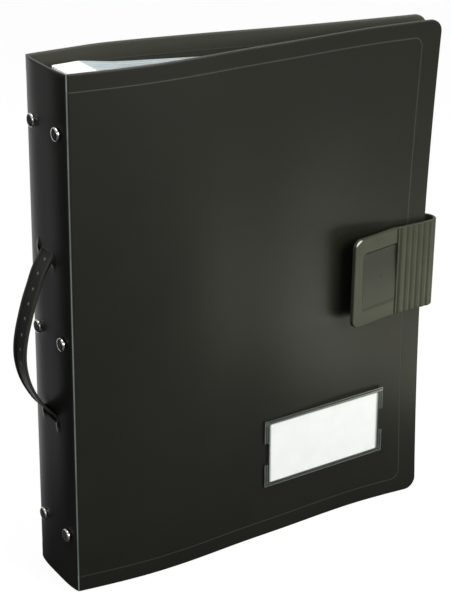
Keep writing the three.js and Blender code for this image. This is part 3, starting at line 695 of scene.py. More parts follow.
def card_paper():
    """Plain white card with a faint fibre."""
    finish = Finish("label_card", Specular_IOR_Level=0.3)
    fibre = finish.noise(2200, 4.0, vector=finish.stretched((0.3, 1, 1)))
    cloud = finish.noise(120, 3.0)
    finish.drive("Base Color", finish.clouded(cloud, (0.88, 0.89, 0.94), (0.92, 0.93, 0.97), 0.3))
    finish.drive("Roughness", 0.7 + 0.15 * fibre)
    finish.bump(fibre, 0.00003, 0.4)
    return finish.material


FINISHES = {}


def finish_of(name):
    """Each finish is made once, when the first piece asks for it."""
    makers = {
        "sheet": sheet_plastic,
        "inside": inner_sheet,
        "edge": cut_edge_with_painted_highlight,
        "crease": crease_plastic,
        "strap": lambda: strap_plastic("strap_plastic", "strap"),
        "strap_rim_highlight": lambda: strap_plastic("strap_rim_highlight", "strap_rim_highlight"),
        "closure": closure_plastic,
        "nickel": lambda: plated_metal("nickel", (0.66, 0.64, 0.6), 0.1, scratch=0.12),
        "steel": lambda: plated_metal("ring_steel", (0.6, 0.6, 0.6), 0.16, (1, 1, 0.1)),
        "film": pocket_film,
        "strip": binding_strip,
        "window": lambda: clear_plastic("clear_window", (0.9, 0.92, 0.92), 0.1, 0.08),
        "flange": lambda: clear_plastic("clear_flange", (0.05, 0.06, 0.055), 0.3, 0.2),
        "card": card_paper,
    }
    if name not in FINISHES:
        FINISHES[name] = makers[name]()
    return FINISHES[name]


# Sizes and colours that a user sets


def length(label, about, value):
    return bpy.props.FloatProperty(name=label, description=about, default=value, unit="LENGTH")


class BinderSizes(bpy.types.PropertyGroup):
    score_depth: length("Score depth", "Depth of the line pressed into the covers", 0.00008)
    score_width: length("Score width", "Half width of the pressed line", 0.00027)
    dimple_depth: length("Dimple depth", "Depth of the dimples along the strap", 0.00035)
    edge_round: length("Edge rounding", "Rounding of the sheet's cut edges", 0.00025)


def shade(label, about, value):
    return bpy.props.FloatVectorProperty(
        name=label, description=about, default=value, size=3, min=0, max=1, subtype="COLOR"
    )


class BinderColours(bpy.types.PropertyGroup):
    sheet: shade("Sheet", "Black of the folded sheet", (0.0068, 0.0067, 0.0047))
    sheet_pale: shade("Sheet, paler", "Cloudier parts of the sheet", (0.0084, 0.0083, 0.0060))
    inside: shade("Sheet, inner face", "Matt inner face of the sheet", (0.023, 0.0228, 0.0175))
    # Pressed line colour: partly stress-whitening, partly a painted highlight of the score groove.
    pressed: shade("Pressed line", "Stressed plastic in the pressed lines", (0.030, 0.034, 0.028))
    # Rim colours: partly the cut edge's own tone, partly a painted highlight along the sheet's edges.
    edge: shade("Cut edge", "Rim of the sheet", (0.18, 0.215, 0.18))
    edge_pale_highlight: shade("Cut edge, paler", "Paler parts of the rim", (0.28, 0.32, 0.27))
    crease: shade("Crease", "Living hinges", (0.16, 0.21, 0.20))
    crease_pale: shade("Crease, paler", "Paler parts of the living hinges", (0.26, 0.32, 0.30))
    strap: shade("Strap", "Black of the carry strap", (0.0040, 0.0040, 0.0040))
    # Paler rims and sides of the strap: a painted highlight on the same black plastic.
    strap_rim_highlight: shade("Strap rims", "Raised rims and sides of the strap", (0.027, 0.0245, 0.0200))
    closure: shade("Closure", "Olive black of the closure", (0.0330, 0.0355, 0.0232))
    closure_pale: shade("Closure, paler", "Paler parts of the closure", (0.0400, 0.0430, 0.0285))


# Covers, spine and hinges


def round_frame(across, up, half_width, half_height, radius):
    """Signed distance to the edge of a rectangle with round corners, from its middle."""
    across = abs(across) - half_width + radius
    up = abs(up) - half_height + radius
    return math.hypot(max(across, 0), max(up, 0)) + min(max(across, up), 0) - radius


SCORE_INSET = 10.0
SCORE_EDGE_INSET = 13.0
SCORE_RADIUS = 6.0


def score_distance(x, z):
    """Signed distance to the pressed line: along the bottom, up the fore-edge and back along the top."""
    left, right = -WIDTH, WIDTH - SCORE_EDGE_INSET
    return round_frame(
        x - (left + right) / 2, z - CENTRE, (right - left) / 2, CENTRE - SCORE_INSET, SCORE_RADIUS
    )


def score_depth(x, z):
    """How deep the pressed line is here, with its low lips."""
    sizes = bpy.context.scene.binder_sizes
    away = abs(score_distance(x, z))
    half = sizes.score_width / MILLIMETRE
    groove = math.exp(-((away / half) ** 2))
    lip = math.exp(-(((away - 2.1 * half) / (0.8 * half)) ** 2))
    return sizes.score_depth / MILLIMETRE * (groove - 0.16 * lip)


def panel(name, columns, rows, place, outward, holes=None):
    """A panel of the folded sheet: a grid with its holes cut, thickened and rounded at its edges."""
    piece = new_grid(name, len(columns) - 1, len(rows) - 1, place)
    if piece.data.polygons[0].normal.dot(outward) < 0:
        on_all(piece, bpy.ops.mesh.flip_normals)
    if holes:
        cut(piece, holes)
    # The rims take the cut-edge finish, whose paler colour is partly a painted highlight.
    modify(piece, "SOLIDIFY", thickness=SHEET, offset=-1, use_rim=True, material_offset_rim=1)
    soften(piece, bpy.context.scene.binder_sizes.edge_round / MILLIMETRE, 2, 50)
    return piece


def cover_piece(name, face, outward):
    """A cover: a fine grid laid on the curved face and scored."""
    plain = WIDTH - CORNER_RADIUS
    columns = stations(
        (FOLD, 5.1, 1.0), (5.1, 233.5, 4.2), (233.5, 237.6, 0.7), (237.6, 243.2, 0.28), (243.2, plain, 1.0),
    )
    columns += [plain + CORNER_RADIUS * math.sin(math.pi / 2 * step / 9) for step in range(1, 10)]
    rows = stations(
        (0, 7.6, 1.4), (7.6, 12.4, 0.28), (12.4, 17.2, 0.8), (17.2, 302.8, 5.2), (302.8, 307.6, 0.8),
        (307.6, 312.4, 0.28), (312.4, HEIGHT, 1.4),
    )

    def place(column, row):
        x = columns[column]
        inset = rounding(WIDTH - x, CORNER_RADIUS)
        z = inset + (HEIGHT - 2 * inset) * rows[row] / HEIGHT
        wave = 0.10 * math.sin(x / 31 + z / 57)
        wave *= math.sin(math.pi * x / WIDTH) * math.sin(math.pi * z / HEIGHT)
        return Vector((x, face(x, z) + outward * (wave - score_depth(x, z)), z))

    piece = panel(name, columns, rows, place, Vector((0, outward, 0)))
    half = bpy.context.scene.binder_sizes.score_width / MILLIMETRE
    # Where the pressed line runs, the sheet takes the paler colour, partly stress-whitening and partly a
    # painted highlight.
    measure(piece, "pressed", lambda spot: math.exp(-((score_distance(spot.x, spot.z) / (1.1 * half)) ** 2)))
    paint(piece, 2, lambda centre, normal: normal.y * outward < -0.7)
    return settle(piece, ["sheet", "edge", "inside"])


class BINDER_OT_covers(bpy.types.Operator):
    """Front and back covers with their pressed lines"""

    bl_idname = "binder.covers"
    bl_label = "Covers"

    def execute(self, context):
        front = cover_piece("front_cover_sheet", front_face, -1)
        carry(front, "front_leaf", ["front_cover"])
        back = cover_piece("back_cover_sheet", back_face, 1)
        carry(back, "back_leaf", ["back_cover"])
        return {"FINISHED"}


SLOT_HALF_HEIGHT = 3.0
SLOT_HALF_WIDTH = 8.55
SLOT_LEAN = 1.05
SLOT_DROP = 1.3


def slot_middle(side):
    """Height of the strap's lower or upper slot; the strap leans the upper one down a little."""
    return CENTRE + side * (SLOT_PITCH / 2 + SLOT_LEAN) - (SLOT_DROP if side > 0 else 0)


def spine_relief(y, z):
    """Dishes round the rivets and the puckers that the strap pulls up beside its slots."""
    rise = 0.0
    for side, rivet_y, rivet_z in RIVET_PLACES:
        away = math.hypot(y - rivet_y, z - rivet_z)
        rise -= 0.22 * math.exp(-((away / 6.2) ** 2))
    for side in (-1, 1):
        slot = slot_middle(side)
        for end in (-1, 1):
            across = y - STRAP_MIDDLE - end * (SLOT_HALF_WIDTH + 0.6)
            up = z - slot - (2.2 if end == side == -1 else side) * end * 1.6
            rise += 0.85 * math.exp(-((across / 1.7) ** 2) - ((up / 3.2) ** 2))
        inner = z - slot + side * (SLOT_HALF_HEIGHT + 1.5)
        across = (y - STRAP_MIDDLE) / SLOT_HALF_WIDTH
        rise += 0.35 * math.exp(-(across ** 4) - (inner / 3.0) ** 2)
    return rise


def spine_piece():
    """The spine: a bowed panel with two slots for the strap."""
    slot_low = STRAP_MIDDLE - SLOT_HALF_WIDTH
    slot_high = STRAP_MIDDLE + SLOT_HALF_WIDTH
    columns = stations(
        (FOLD, slot_low - 2, 0.9), (slot_low - 2, slot_low, 0.5), (slot_low, slot_high, 0.95),
        (slot_high, slot_high + 2, 0.5), (slot_high + 2, DEPTH - FOLD, 0.9),
    )
    spans = []
    for side in (-1, 1):
        slot = slot_middle(side)
        spans.append((slot - SLOT_HALF_HEIGHT, slot + SLOT_HALF_HEIGHT - (0.8 if side > 0 else 0)))
    runs, last = [], 0
    for low, high in spans:
        runs += [(last, low - 8, 2.6), (low - 8, low, 0.8), (low, high, 1.0), (high, high + 8, 0.8)]
        last = high + 8
    rows = stations(*runs, (last, HEIGHT, 2.6))

    def place(column, row):
        y, z = columns[column], rows[row]
        return Vector((spine_face(y) - spine_relief(y, z), y, z))

    def in_slot(centre, normal):
        inside = any(low < centre.z < high for low, high in spans)
        return inside and slot_low < centre.y < slot_high

    piece = panel("spine_sheet", columns, rows, place, Vector((-1, 0, 0)), in_slot)
    # Slot and fold rims take the sheet's black; the top and bottom rims keep the paler cut edge, partly a
    # painted highlight.
    paint(piece, 0, lambda centre, normal: 1 < centre.z < HEIGHT - 1)
    paint(piece, 2, lambda centre, normal: normal.x > 0.7)
    return settle(piece, ["sheet", "edge", "inside"])


def hinge_piece(name, mirror):
    """Living hinge: a thinned strip that turns the corner, pinched flat between the pressed lines."""
    rows = stations(
        (0, 9.2, 1.15), (9.2, 10.8, 0.4), (10.8, 309.2, 6.0), (309.2, 310.8, 0.4), (310.8, HEIGHT, 1.15),
    )
    loops = []
    for z in rows:
        pinch = smooth_step(9.4, 10.4, z) * smooth_step(310.6, 309.6, z)
        jog = 0.05 * math.sin(z / 7.3) * pinch
        loop = []
        for step in range(13):
            s = step / 12
            square = Vector((max(0, (s - 0.5) * 2) * FOLD, max(0, (0.5 - s) * 2) * FOLD, z))
            flat = Vector((s * FOLD, (1 - s) * FOLD, z))
            lip = 0.10 * math.sin(math.pi * s * 2) ** 2 * pinch
            point = square.lerp(flat, 0.18 + 0.42 * pinch)
            point.x -= lip * 0.7 + jog * 0.3
            point.y -= lip * 0.7 - jog * 0.3
            if step == 0:
                point = Vector((0, FOLD, z))
            if step == 12:
                point = Vector((FOLD, front_face(FOLD, z) if not mirror else 0, z))
            loop.append(point)
        inner = SHEET - 0.25 * pinch
        loop.append(Vector((FOLD, SHEET, z)))
        loop.append(Vector((SHEET * 0.97, inner + 0.12, z)))
        loop.append(Vector((inner + 0.12, SHEET * 0.97, z)))
        loop.append(Vector((SHEET, FOLD, z)))
        loops.append(loop)
    piece = swept(name, loops)
    if mirror:
        turn(piece, Matrix.Translation((0, DEPTH, 0)) @ Matrix.Scale(-1, 4, (0, 1, 0)))
    paint(piece, 1, lambda centre, normal: abs(normal.z) > 0.8)
    far = DEPTH if mirror else 0
    towards = -1 if mirror else 1

    def strain(spot):
        share = (spot.x - towards * (spot.y - far) + FOLD) / (2 * FOLD)
        return math.exp(-(((share - 0.5) / 0.24) ** 2))

    measure(piece, "pressed", strain)
    settle(piece, ["crease", "edge"], 50)
    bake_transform(piece)


class BINDER_OT_spine(bpy.types.Operator):
    """Spine panel with its slots, and the two living hinges"""

    bl_idname = "binder.spine"
    bl_label = "Spine and hinges"

    def execute(self, context):
        carry(spine_piece(), "spine", ["spine_panel"])
        hinge_piece("front_hinge_crease", False)
        hinge_piece("back_hinge_crease", True)
        return {"FINISHED"}


# Rivets and press stud


def rivet_piece(name, grip):
    """A rivet: rolled tail, stem and a flat head with a low sloping shoulder and a rolled side."""
    head, height, gap = 4.1, 1.5, SEAT_GAP
    top = height + gap
    tail = grip + gap + 0.6
    outline = [
        (2.5, -tail), (2.8, -tail + 0.12), (2.9, -tail + 0.3), (2.8, -tail + 0.55), (1.9, -tail + 0.6),
        (1.9, gap), (head * 0.95, gap), (head, gap + 0.1), (head, gap + 0.35), (head * 0.99, gap + 0.62),
        (head * 0.965, gap + 0.88), (head * 0.93, gap + 1.12), (head * 0.9, top - 0.26),
        (head * 0.87, top - 0.18), (head * 0.82, top - 0.115), (head * 0.76, top - 0.06),
        (head * 0.7, top - 0.02), (head * 0.66, top - 0.004), (head * 0.64, top), (head * 0.62, top),
        (head * 0.05, top),
    ]
    return turned(name, outline, 64)


class BINDER_OT_rivets(bpy.types.Operator):
    """Six rivets of the spine and two of the closure"""

    bl_idname = "binder.rivets"
    bl_label = "Rivets"

    def execute(self, context):
        for index, (side, y, z) in enumerate(RIVET_PLACES, 1):
            seat = spine_face(y - side * 4.4)
            piece = rivet_piece(f"spine_rivet_{index}_head", 3.3 - seat)
            turn(piece, Matrix.Rotation(-math.pi / 2, 4, "Y"))
            turn(piece, Matrix.Translation((seat, y, z)))
            settle(piece, ["nickel"], 50)
            carry(piece, "spine", [f"spine_rivet_{index}"])
        grip = CLOSURE_THICKNESS + BASE_SEAT + SHEET + SEAT_GAP
        for row in (1, 2):
            piece = rivet_piece(f"closure_rivet_{row}_head", grip)
            turn(piece, Matrix.Rotation(-math.pi / 2, 4, "X"))
            turn(piece, Matrix.Translation((0, CLOSURE_THICKNESS / 2, 0)))
            place_on_base(piece, RIVET_ALONG, CENTRE + (row - 1.5) * CLOSURE_RIVET_PITCH)
            settle(piece, ["nickel"], 50)
            carry(piece, "back_leaf", [f"closure_rivet_{row}"])
        return {"FINISHED"}


# The closure's own line: its base lies along the back cover and its band wraps to the front.
BASE_ANGLE = math.atan2(back_face(WIDTH) - back_face(WIDTH - BASE_LENGTH), BASE_LENGTH)
BASE_DIRECTION = Vector((math.cos(BASE_ANGLE), math.sin(BASE_ANGLE), 0))
BASE_NORMAL = Vector((-BASE_DIRECTION.y, BASE_DIRECTION.x, 0))
BEND_START = (
    Vector((WIDTH, back_face(WIDTH), 0)) + BASE_DIRECTION * CLOSURE_REACH
    + BASE_NORMAL * (BASE_SEAT + CLOSURE_THICKNESS / 2)
)
BAND_MID = BAND_FRONT + CLOSURE_THICKNESS / 2
BEND_RADIUS = (BEND_START.y - BAND_MID) / (1 + BASE_NORMAL.y)
BEND_CENTRE = BEND_START - BASE_NORMAL * BEND_RADIUS
BAND_START = Vector((BEND_CENTRE.x, BAND_MID, 0))
TAB_HINGE = Vector((BAND_START.x - BAND_LENGTH, BAND_FRONT, 0))
STUD_X = TAB_HINGE.x - STUD_INSET * math.cos(TAB_FLARE)
RIVET_ALONG = (WIDTH - BASE_LENGTH + CLOSURE_RIVET_INSET - BEND_START.x) / BASE_DIRECTION.x


def place_on_base(piece, along, z):
    """Turns a piece drawn square about the first bend and lays it along the back cover."""
    turn(piece, Matrix.Translation((along, 0, z)))
    turn(piece, Matrix.Rotation(BASE_ANGLE, 4, "Z"))
    turn(piece, Matrix.Translation(BEND_START))


class BINDER_OT_press_stud(bpy.types.Operator):
    """Socket of the press stud and its washer"""

    bl_idname = "binder.press_stud"
    bl_label = "Press stud socket"

    def execute(self, context):
        low, high = drawn_box("closure_socket")
        front, reach = low.y, high.y - low.y
        washer_front = drawn_box("closure_washer")[0].y - front
        flange = washer_front - SEAT_GAP - SHEET - 1.6
        outline = [
            (2.4, reach), (2.4, flange + 0.9), (7.2, flange + 0.9), (7.5, flange + 0.7),
            (7.5, flange + 0.3), (7.2, flange + 0.1), (5.4, flange), (5.0, flange - 0.4), (5.0, 0.3),
            (4.7, 0.05), (4.3, 0), (3.0, 0), (2.6, 0.2), (2.5, 0.6), (2.5, 2.5),
        ]
        socket = turned("press_stud_socket", [(radius, -height) for radius, height in outline])
        turn(socket, Matrix.Rotation(math.pi / 2, 4, "X"))
        turn(socket, Matrix.Translation((STUD_X, front, CENTRE)))
        settle(socket, ["closure"], 50)
        carry(socket, "front_leaf", ["closure_socket"])
        outline = [
            (2.5, 0), (5.2, 0), (5.5, 0.15), (5.5, 0.5), (5.2, 0.7), (3.0, 0.7), (2.7, 0.62), (2.5, 0.45),
        ]
        loops = []
        for step in range(41):
            angle = math.tau * step / 40
            loops.append([
                Vector((radius * math.cos(angle), height + washer_front, radius * math.sin(angle)))
                for radius, height in outline
            ])
        washer = swept("press_stud_washer", loops, closed_ends=False)
        turn(washer, Matrix.Translation((STUD_X, front, CENTRE)))
        settle(washer, ["nickel"], 50)
        carry(washer, "front_leaf", ["closure_washer"])
        return {"FINISHED"}


# Carry strap

STRAP_BOW = [
    (0.1, 0.27), (0.19, 0.46), (0.28, 0.645), (0.37, 0.79), (0.46, 0.915), (0.545, 0.99),
    (0.62, 1), (0.7, 0.94), (0.78, 0.81), (0.86, 0.6), (0.93, 0.36),
]
DIMPLES = [
    (-4, 207.3), (-7.4, 198.9), (-10.7, 190.3), (-13.8, 181.7), (-16.3, 173), (-18.7, 163.5),
    (-20.1, 154.4), (-20.2, 145.6),
]
DIMPLE_REACH = 0.9


def rounded_line(points, spacing):
    """A smooth line through points with even steps: centripetal, so that it keeps to the solids' line."""
    line = [points[0] * 2 - points[1], *points, points[-1] * 2 - points[-2]]
    fine = []
    for index in range(1, len(line) - 2):
        p = line[index - 1:index + 3]
        knots = [0.0]
        for step in range(3):
            knots.append(knots[-1] + max((p[step + 1] - p[step]).length, 1e-6) ** 0.5)
        for step in range(24):
            t = lerp(knots[1], knots[2], step / 24)
            layer = p
            for spans in ([(0, 1), (1, 2), (2, 3)], [(0, 2), (1, 3)], [(1, 2)]):
                layer = [
                    layer[k].lerp(layer[k + 1], (t - knots[low]) / (knots[high] - knots[low]))
                    for k, (low, high) in enumerate(spans)
                ]
            fine.append(layer[0])
    fine.append(points[-1])
    return even_line(fine, spacing)


def even_line(fine, spacing):
    """The same line with its points at even steps."""
    lengths = [0.0]
    for before, after in zip(fine, fine[1:]):
        lengths.append(lengths[-1] + (after - before).length)
    steps = max(round(lengths[-1] / spacing), 1)
    even, index = [], 0
    for step in range(steps + 1):
        want = lengths[-1] * step / steps
        while index < len(lengths) - 2 and lengths[index + 1] < want:
            index += 1
        span = lengths[index + 1] - lengths[index]
        even.append(fine[index].lerp(fine[index + 1], (want - lengths[index]) / span))
    return even


def strap_section(dimple):
    """Closed section of the strap: across and outwards, with two rims and a hollow between them."""
    half, thick = STRAP_WIDTH / 2, STRAP_THICKNESS / 2
    rim = [
        (half - 0.25, -thick), (half - 0.06, -thick + 0.08), (half, -thick + 0.28), (half, thick - 0.35),
        (half - 0.12, thick - 0.1), (half - 0.4, thick), (half - 1.3, thick), (half - 1.6, thick - 0.08),
        (half - 1.85, thick - 0.5), (half - 2.1, thick - 0.62),
    ]
    inner, floor = rim[-1]
    mirrored = [(-across, up) for across, up in rim]
    hollow = []
    for step in range(1, 24):
        across = inner - 2 * inner * step / 24
        hollow.append((across, floor - dimple(across)))
    return [mirrored[0], *rim, *hollow, *mirrored[:0:-1]]


class BINDER_OT_strap(bpy.types.Operator):
    """Carry strap with raised rims and a row of dimples, held by wide stops behind the spine"""

    bl_idname = "binder.strap"
    bl_label = "Carry strap"

    def execute(self, context):
        inside = -SPINE_BOW + SHEET
        level = inside + 0.3 + STRAP_THICKNESS / 2
        top, bottom = CENTRE + SLOT_PITCH / 2, CENTRE - SLOT_PITCH / 2
        turning = SLOT_HEIGHT * 0.62
        tongue = [TONGUE_LENGTH, (TONGUE_LENGTH + turning) / 2, turning]
        points = [(level, top + up) for up in tongue]
        points.append((inside - SHEET / 2, top + SLOT_LEAN - SLOT_DROP))
        points += [(-SPINE_BOW - STRAP_REACH * out, top - SLOT_PITCH * down) for down, out in STRAP_BOW]
        points.append((inside - SHEET / 2, bottom - SLOT_LEAN))
        points += [(level, bottom - down) for down in reversed(tongue)]
        line = rounded_line([Vector((x, 0, z)) for x, z in points], 0.5)
        depth = context.scene.binder_sizes.dimple_depth / MILLIMETRE
        spacing = (line[1] - line[0]).length
        rows = [
            min(range(len(line)), key=lambda index: (line[index] - Vector((x, 0, z))).length)
            for x, z in DIMPLES
        ]
        loops = []
        for index, point in enumerate(line):
            ahead = line[min(index + 1, len(line) - 1)] - line[max(index - 1, 0)]
            ahead.normalize()
            out = Vector((ahead.z, 0, -ahead.x))
            near = min(abs(index - row) for row in rows) * spacing

            def dimple(across, near=near):
                away = math.hypot(across, near)
                return depth * math.exp(-((away / DIMPLE_REACH) ** 2))

            loops.append([
                point + Vector((0, STRAP_MIDDLE + across, 0)) + out * up
                for across, up in strap_section(dimple)
            ])
        strap = swept("carry_strap", loops)
        stops = []
        for low in (top + TONGUE_LENGTH - STOP_LENGTH, bottom - TONGUE_LENGTH):
            stops.append(block(
                "strap_stop",
                (level - STRAP_THICKNESS / 2, STRAP_MIDDLE - STOP_WIDTH / 2, low),
                (level + STRAP_THICKNESS / 2, STRAP_MIDDLE + STOP_WIDTH / 2, low + STOP_LENGTH),
                0.3, 2, (0, 1.6, lambda centre: True),
            ))
        whole = joined([strap, *stops], "carry_strap")
        # Rims and sides take the paler rim colour, a painted highlight.
        paint(whole, 1, lambda centre, normal: abs(centre.y - STRAP_MIDDLE) > 5.9)
        spots = [line[row] for row in rows]

        # The dimples' polish also paints a pale glint into the strap's colour.
        def polish(spot):
            on_line = Vector((spot.x, 0, spot.z))
            away = min((on_line - place).length for place in spots)
            return smooth_step(1.15, 0.45, math.hypot(away, spot.y - STRAP_MIDDLE))

        measure(whole, "polish", polish)
        settle(whole, ["strap", "strap_rim_highlight"], 40)
        carry(whole, "spine", ["handle_strap"])
        return {"FINISHED"}


# Ring mechanism


def ring_piece(name, line):
    """A ring half: a round wire along a flat line at one height."""
    loops = []
    last = len(line) - 1
    for index, point in enumerate(line):
        ahead = (line[min(index + 1, last)] - line[max(index - 1, 0)]).normalized()
        side = Vector((-ahead.y, ahead.x, 0))
        loop = []
        for step in range(WIRE_SIDES):
            angle = math.tau * step / WIRE_SIDES
            rise = Vector((0, 0, WIRE_RADIUS * math.sin(angle)))
            loop.append(point + side * (WIRE_RADIUS * math.cos(angle)) + rise)
        loops.append(loop)
    return swept(name, loops)


def ring_line(side, z):
    """Line of a ring half: up from its blade, out under the pockets and round over them."""
    foot, half, corner = 6.8, 18.0, 8.0
    start, lower, top = 5.1, 8.2, 22.1
    points = [(start, foot), (lower, foot), (lower, half), (top, half), (top, 0.25)]
    radii = [3.0, 3.2, corner]
    corners = [Vector((x, MIDDLE + side * offset, z)) for x, offset in points]
    line = [corners[0]]
    for index, radius in zip(range(1, 4), radii):
        here = corners[index]
        back = here + (corners[index - 1] - here).normalized() * radius
        ahead = here + (corners[index + 1] - here).normalized() * radius
        for step in range(13):
            s = step / 12
            line.append(back.lerp(here, s).lerp(here.lerp(ahead, s), s))
    line.append(corners[-1])
    return even_line(line, 0.7)


def housing_piece():
    """Arched channel of the mechanism, slotted at each ring and rolled at its edges."""
    foot, wall, half = 3.5, 0.8, 11.0
    bottom, top = CENTRE - 129, CENTRE + 129
    flank = [(foot, half), (foot + 0.8, half), (foot + 1.6, half), (foot + 2.4, half)]
    crown_shares = [-1 + 2 * step / 20 for step in range(21)]
    profile = [(x, -y) for x, y in flank]
    profile += [(foot + 6 - 3 * share ** 2, share * half) for share in crown_shares]
    profile += flank[::-1]
    runs = []
    last = bottom
    for z in RING_ROWS:
        runs += [(last, z - 2.0, 6.0), (z - 2.0, z + 2.0, 1.0)]
        last = z + 2.0
    rows = stations(*runs, (last, top, 6.0))

    def place(column, row):
        x, y = profile[column]
        end = min(rows[row] - bottom, top - rows[row])
        drop = 1.2 * math.exp(-((end / 3.2) ** 2)) * (1 - (y / half) ** 2)
        rib = 0.25 * math.exp(-((y / 2.2) ** 4)) * smooth_step(6, 12, end)
        return Vector((x - drop + rib, MIDDLE + y, rows[row]))

    piece = new_grid("ring_housing_arch", len(profile) - 1, len(rows) - 1, place)
    on_all(piece, bpy.ops.mesh.normals_make_consistent)
    crown = [face for face in piece.data.polygons if abs(face.center.y - MIDDLE) < 1]
    if crown[0].normal.x < 0:
        piece.data.flip_normals()

    def in_slot(centre, normal):
        near = any(abs(centre.z - z) < 2.0 for z in RING_ROWS)
        return near and abs(centre.y - MIDDLE) > 4.9 and centre.x > foot + 2.2

    cut(piece, in_slot)
    modify(piece, "SOLIDIFY", thickness=wall, offset=-1, use_rim=True)
    soften(piece, 0.15, 2, 45)
    return settle(piece, ["steel"], 40)


class BINDER_OT_mechanism(bpy.types.Operator):
    """Base plate, sprung housing, blades and ring halves"""

    bl_idname = "binder.mechanism"
    bl_label = "Ring mechanism"

    def execute(self, context):
        low, high = drawn_box("ring_base_plate")
        plate_low = Vector((2.2, low.y, low.z))
        plate_high = Vector((3.2, high.y, high.z))
        plate = block("mechanism_plate", plate_low, plate_high, 0.2, 2, (0, 5.0, lambda centre: True))
        bosses = []
        for side, y, z in RIVET_PLACES:
            boss = turned("boss", [(3.4, 0), (4.0, 0.2), (4.0, 1.4), (4.6, 2.3)], 28)
            turn(boss, Matrix.Rotation(math.pi / 2, 4, "Y"))
            turn(boss, Matrix.Translation((low.x, y, z)))
            bosses.append(boss)
        plate = joined([plate, *bosses], "mechanism_plate")
        settle(plate, ["steel"], 40)
        carry(plate, "spine", ["ring_base_plate"])
        carry(housing_piece(), "spine", ["ring_housing"])
        for name, side in (("front", -1), ("rear", 1)):
            blade = block(f"blade_{name}_strip", *drawn_box(f"blade_{name}"), 0.2, 2)
            settle(blade, ["steel"], 40)
            carry(blade, f"ring_row_{name}", [f"blade_{name}"])
            for index, z in enumerate(RING_ROWS, 1):
                ring = ring_piece(f"ring_{name}_{index}_half", ring_line(side, z))
                settle(ring, ["steel"], 40)
                carry(ring, f"ring_row_{name}", [f"ring_{name}_{index}"])
        return {"FINISHED"}


# Pockets

STRIP_END = BINDING_EDGE + 18
POCKET_END = WIDTH - 11.4
POCKET_FRONT = [(BINDING_EDGE, 8.45), (STRIP_END, 8.45)]
POCKET_REAR = [(BINDING_EDGE, 37.75), (STRIP_END, 39.15)]
for share, front, rear in zip(
    (0.16, 0.33, 0.66, 0.85, 1), (0.145, 0.13, 0.17, 0.226, 0.214), (0.6, 0.37, 0.355, 0.343, 0.315)
):
    POCKET_FRONT.append((lerp(STRIP_END, POCKET_END, share), DEPTH * front))
    POCKET_REAR.append((lerp(STRIP_END, POCKET_END, share), DEPTH * rear))


def along_rows(rows, place):
    """Straight from row to row of place and value."""
    for (start, first), (end, second) in zip(rows, rows[1:]):
        if place <= end:
            return lerp(first, second, (place - start) / (end - start))
    return rows[-1][1]


BUNDLES = 4
LEAVES = 8
LEAF_THICKNESS = 0.22
HOLE_HALF = 2.1


def leaf_piece(share, index):
    """One pocket of a bundle: two films welded to a strip, with slots for the rings."""
    near, far = 16.0, 28.0
    columns = stations(
        (BINDING_EDGE + 0.25, near, 2.4), (near, far, 4.0), (far, STRIP_END + 0.6, 0.7),
        (STRIP_END + 0.6, POCKET_END, 9.0),
    )
    runs, last = [], 5.0
    for z in RING_ROWS:
        runs += [(last, z - HOLE_HALF, 14.0), (z - HOLE_HALF, z + HOLE_HALF, 2 * HOLE_HALF)]
        last = z + HOLE_HALF
    rows = stations(*runs, (last, HEIGHT - 5, 14.0))
    drop = 0.9 * (0.5 + 0.5 * math.sin(index * 2.4))
    short = 1.3 * (0.5 + 0.5 * math.sin(index * 1.7 + 1))

    def place(column, row):
        x = columns[column]
        z = rows[row]
        shortened = x - short * smooth_step(STRIP_END, POCKET_END, x)
        if row == len(rows) - 1:
            z -= drop + 1.9 * smooth_step(STRIP_END - 4, STRIP_END + 24, x)
        y = lerp(along_rows(POCKET_FRONT, x), along_rows(POCKET_REAR, x), share)
        return Vector((shortened, y, z))

    def in_hole(centre, normal):
        return near < centre.x < far and any(abs(centre.z - z) < HOLE_HALF for z in RING_ROWS)

    piece = new_grid(f"leaf_{index}", len(columns) - 1, len(rows) - 1, place)
    cut(piece, in_hole)
    modify(piece, "SOLIDIFY", thickness=LEAF_THICKNESS, offset=0, use_rim=True)
    return piece


class BINDER_OT_pockets(bpy.types.Operator):
    """Four bundles of punched pockets with a white binding strip"""

    bl_idname = "binder.pockets"
    bl_label = "Punched pockets"

    def execute(self, context):
        for bundle in range(BUNDLES):
            leaves = []
            for leaf in range(LEAVES):
                index = bundle * LEAVES + leaf
                leaves.append(leaf_piece((index + 0.5) / (BUNDLES * LEAVES), index))
            piece = joined(leaves, f"pocket_bundle_{bundle + 1}_leaves")
            paint(piece, 1, lambda centre, normal: centre.x < STRIP_END)
            settle(piece, ["film", "strip"], 30)
            carry(piece, "spine", [f"pocket_bundle_{bundle + 1}"])
        return {"FINISHED"}


# Closure

GROOVES = 5
GROOVE_PITCH = 4.4
BAND_EDGE = 0.55
BAND_ROWS = stations(
    (0, BAND_EDGE, 0.18), (BAND_EDGE, 8.2, 1.0), (8.2, 12.4, 0.3), (12.4, CLOSURE_HEIGHT - 12.4, 1.2),
    (CLOSURE_HEIGHT - 12.4, CLOSURE_HEIGHT - 8.2, 0.3), (CLOSURE_HEIGHT - 8.2, CLOSURE_HEIGHT - 3.8, 1.0),
    (CLOSURE_HEIGHT - 3.8, CLOSURE_HEIGHT - BAND_EDGE, 0.33),
    (CLOSURE_HEIGHT - BAND_EDGE, CLOSURE_HEIGHT, 0.18),
)


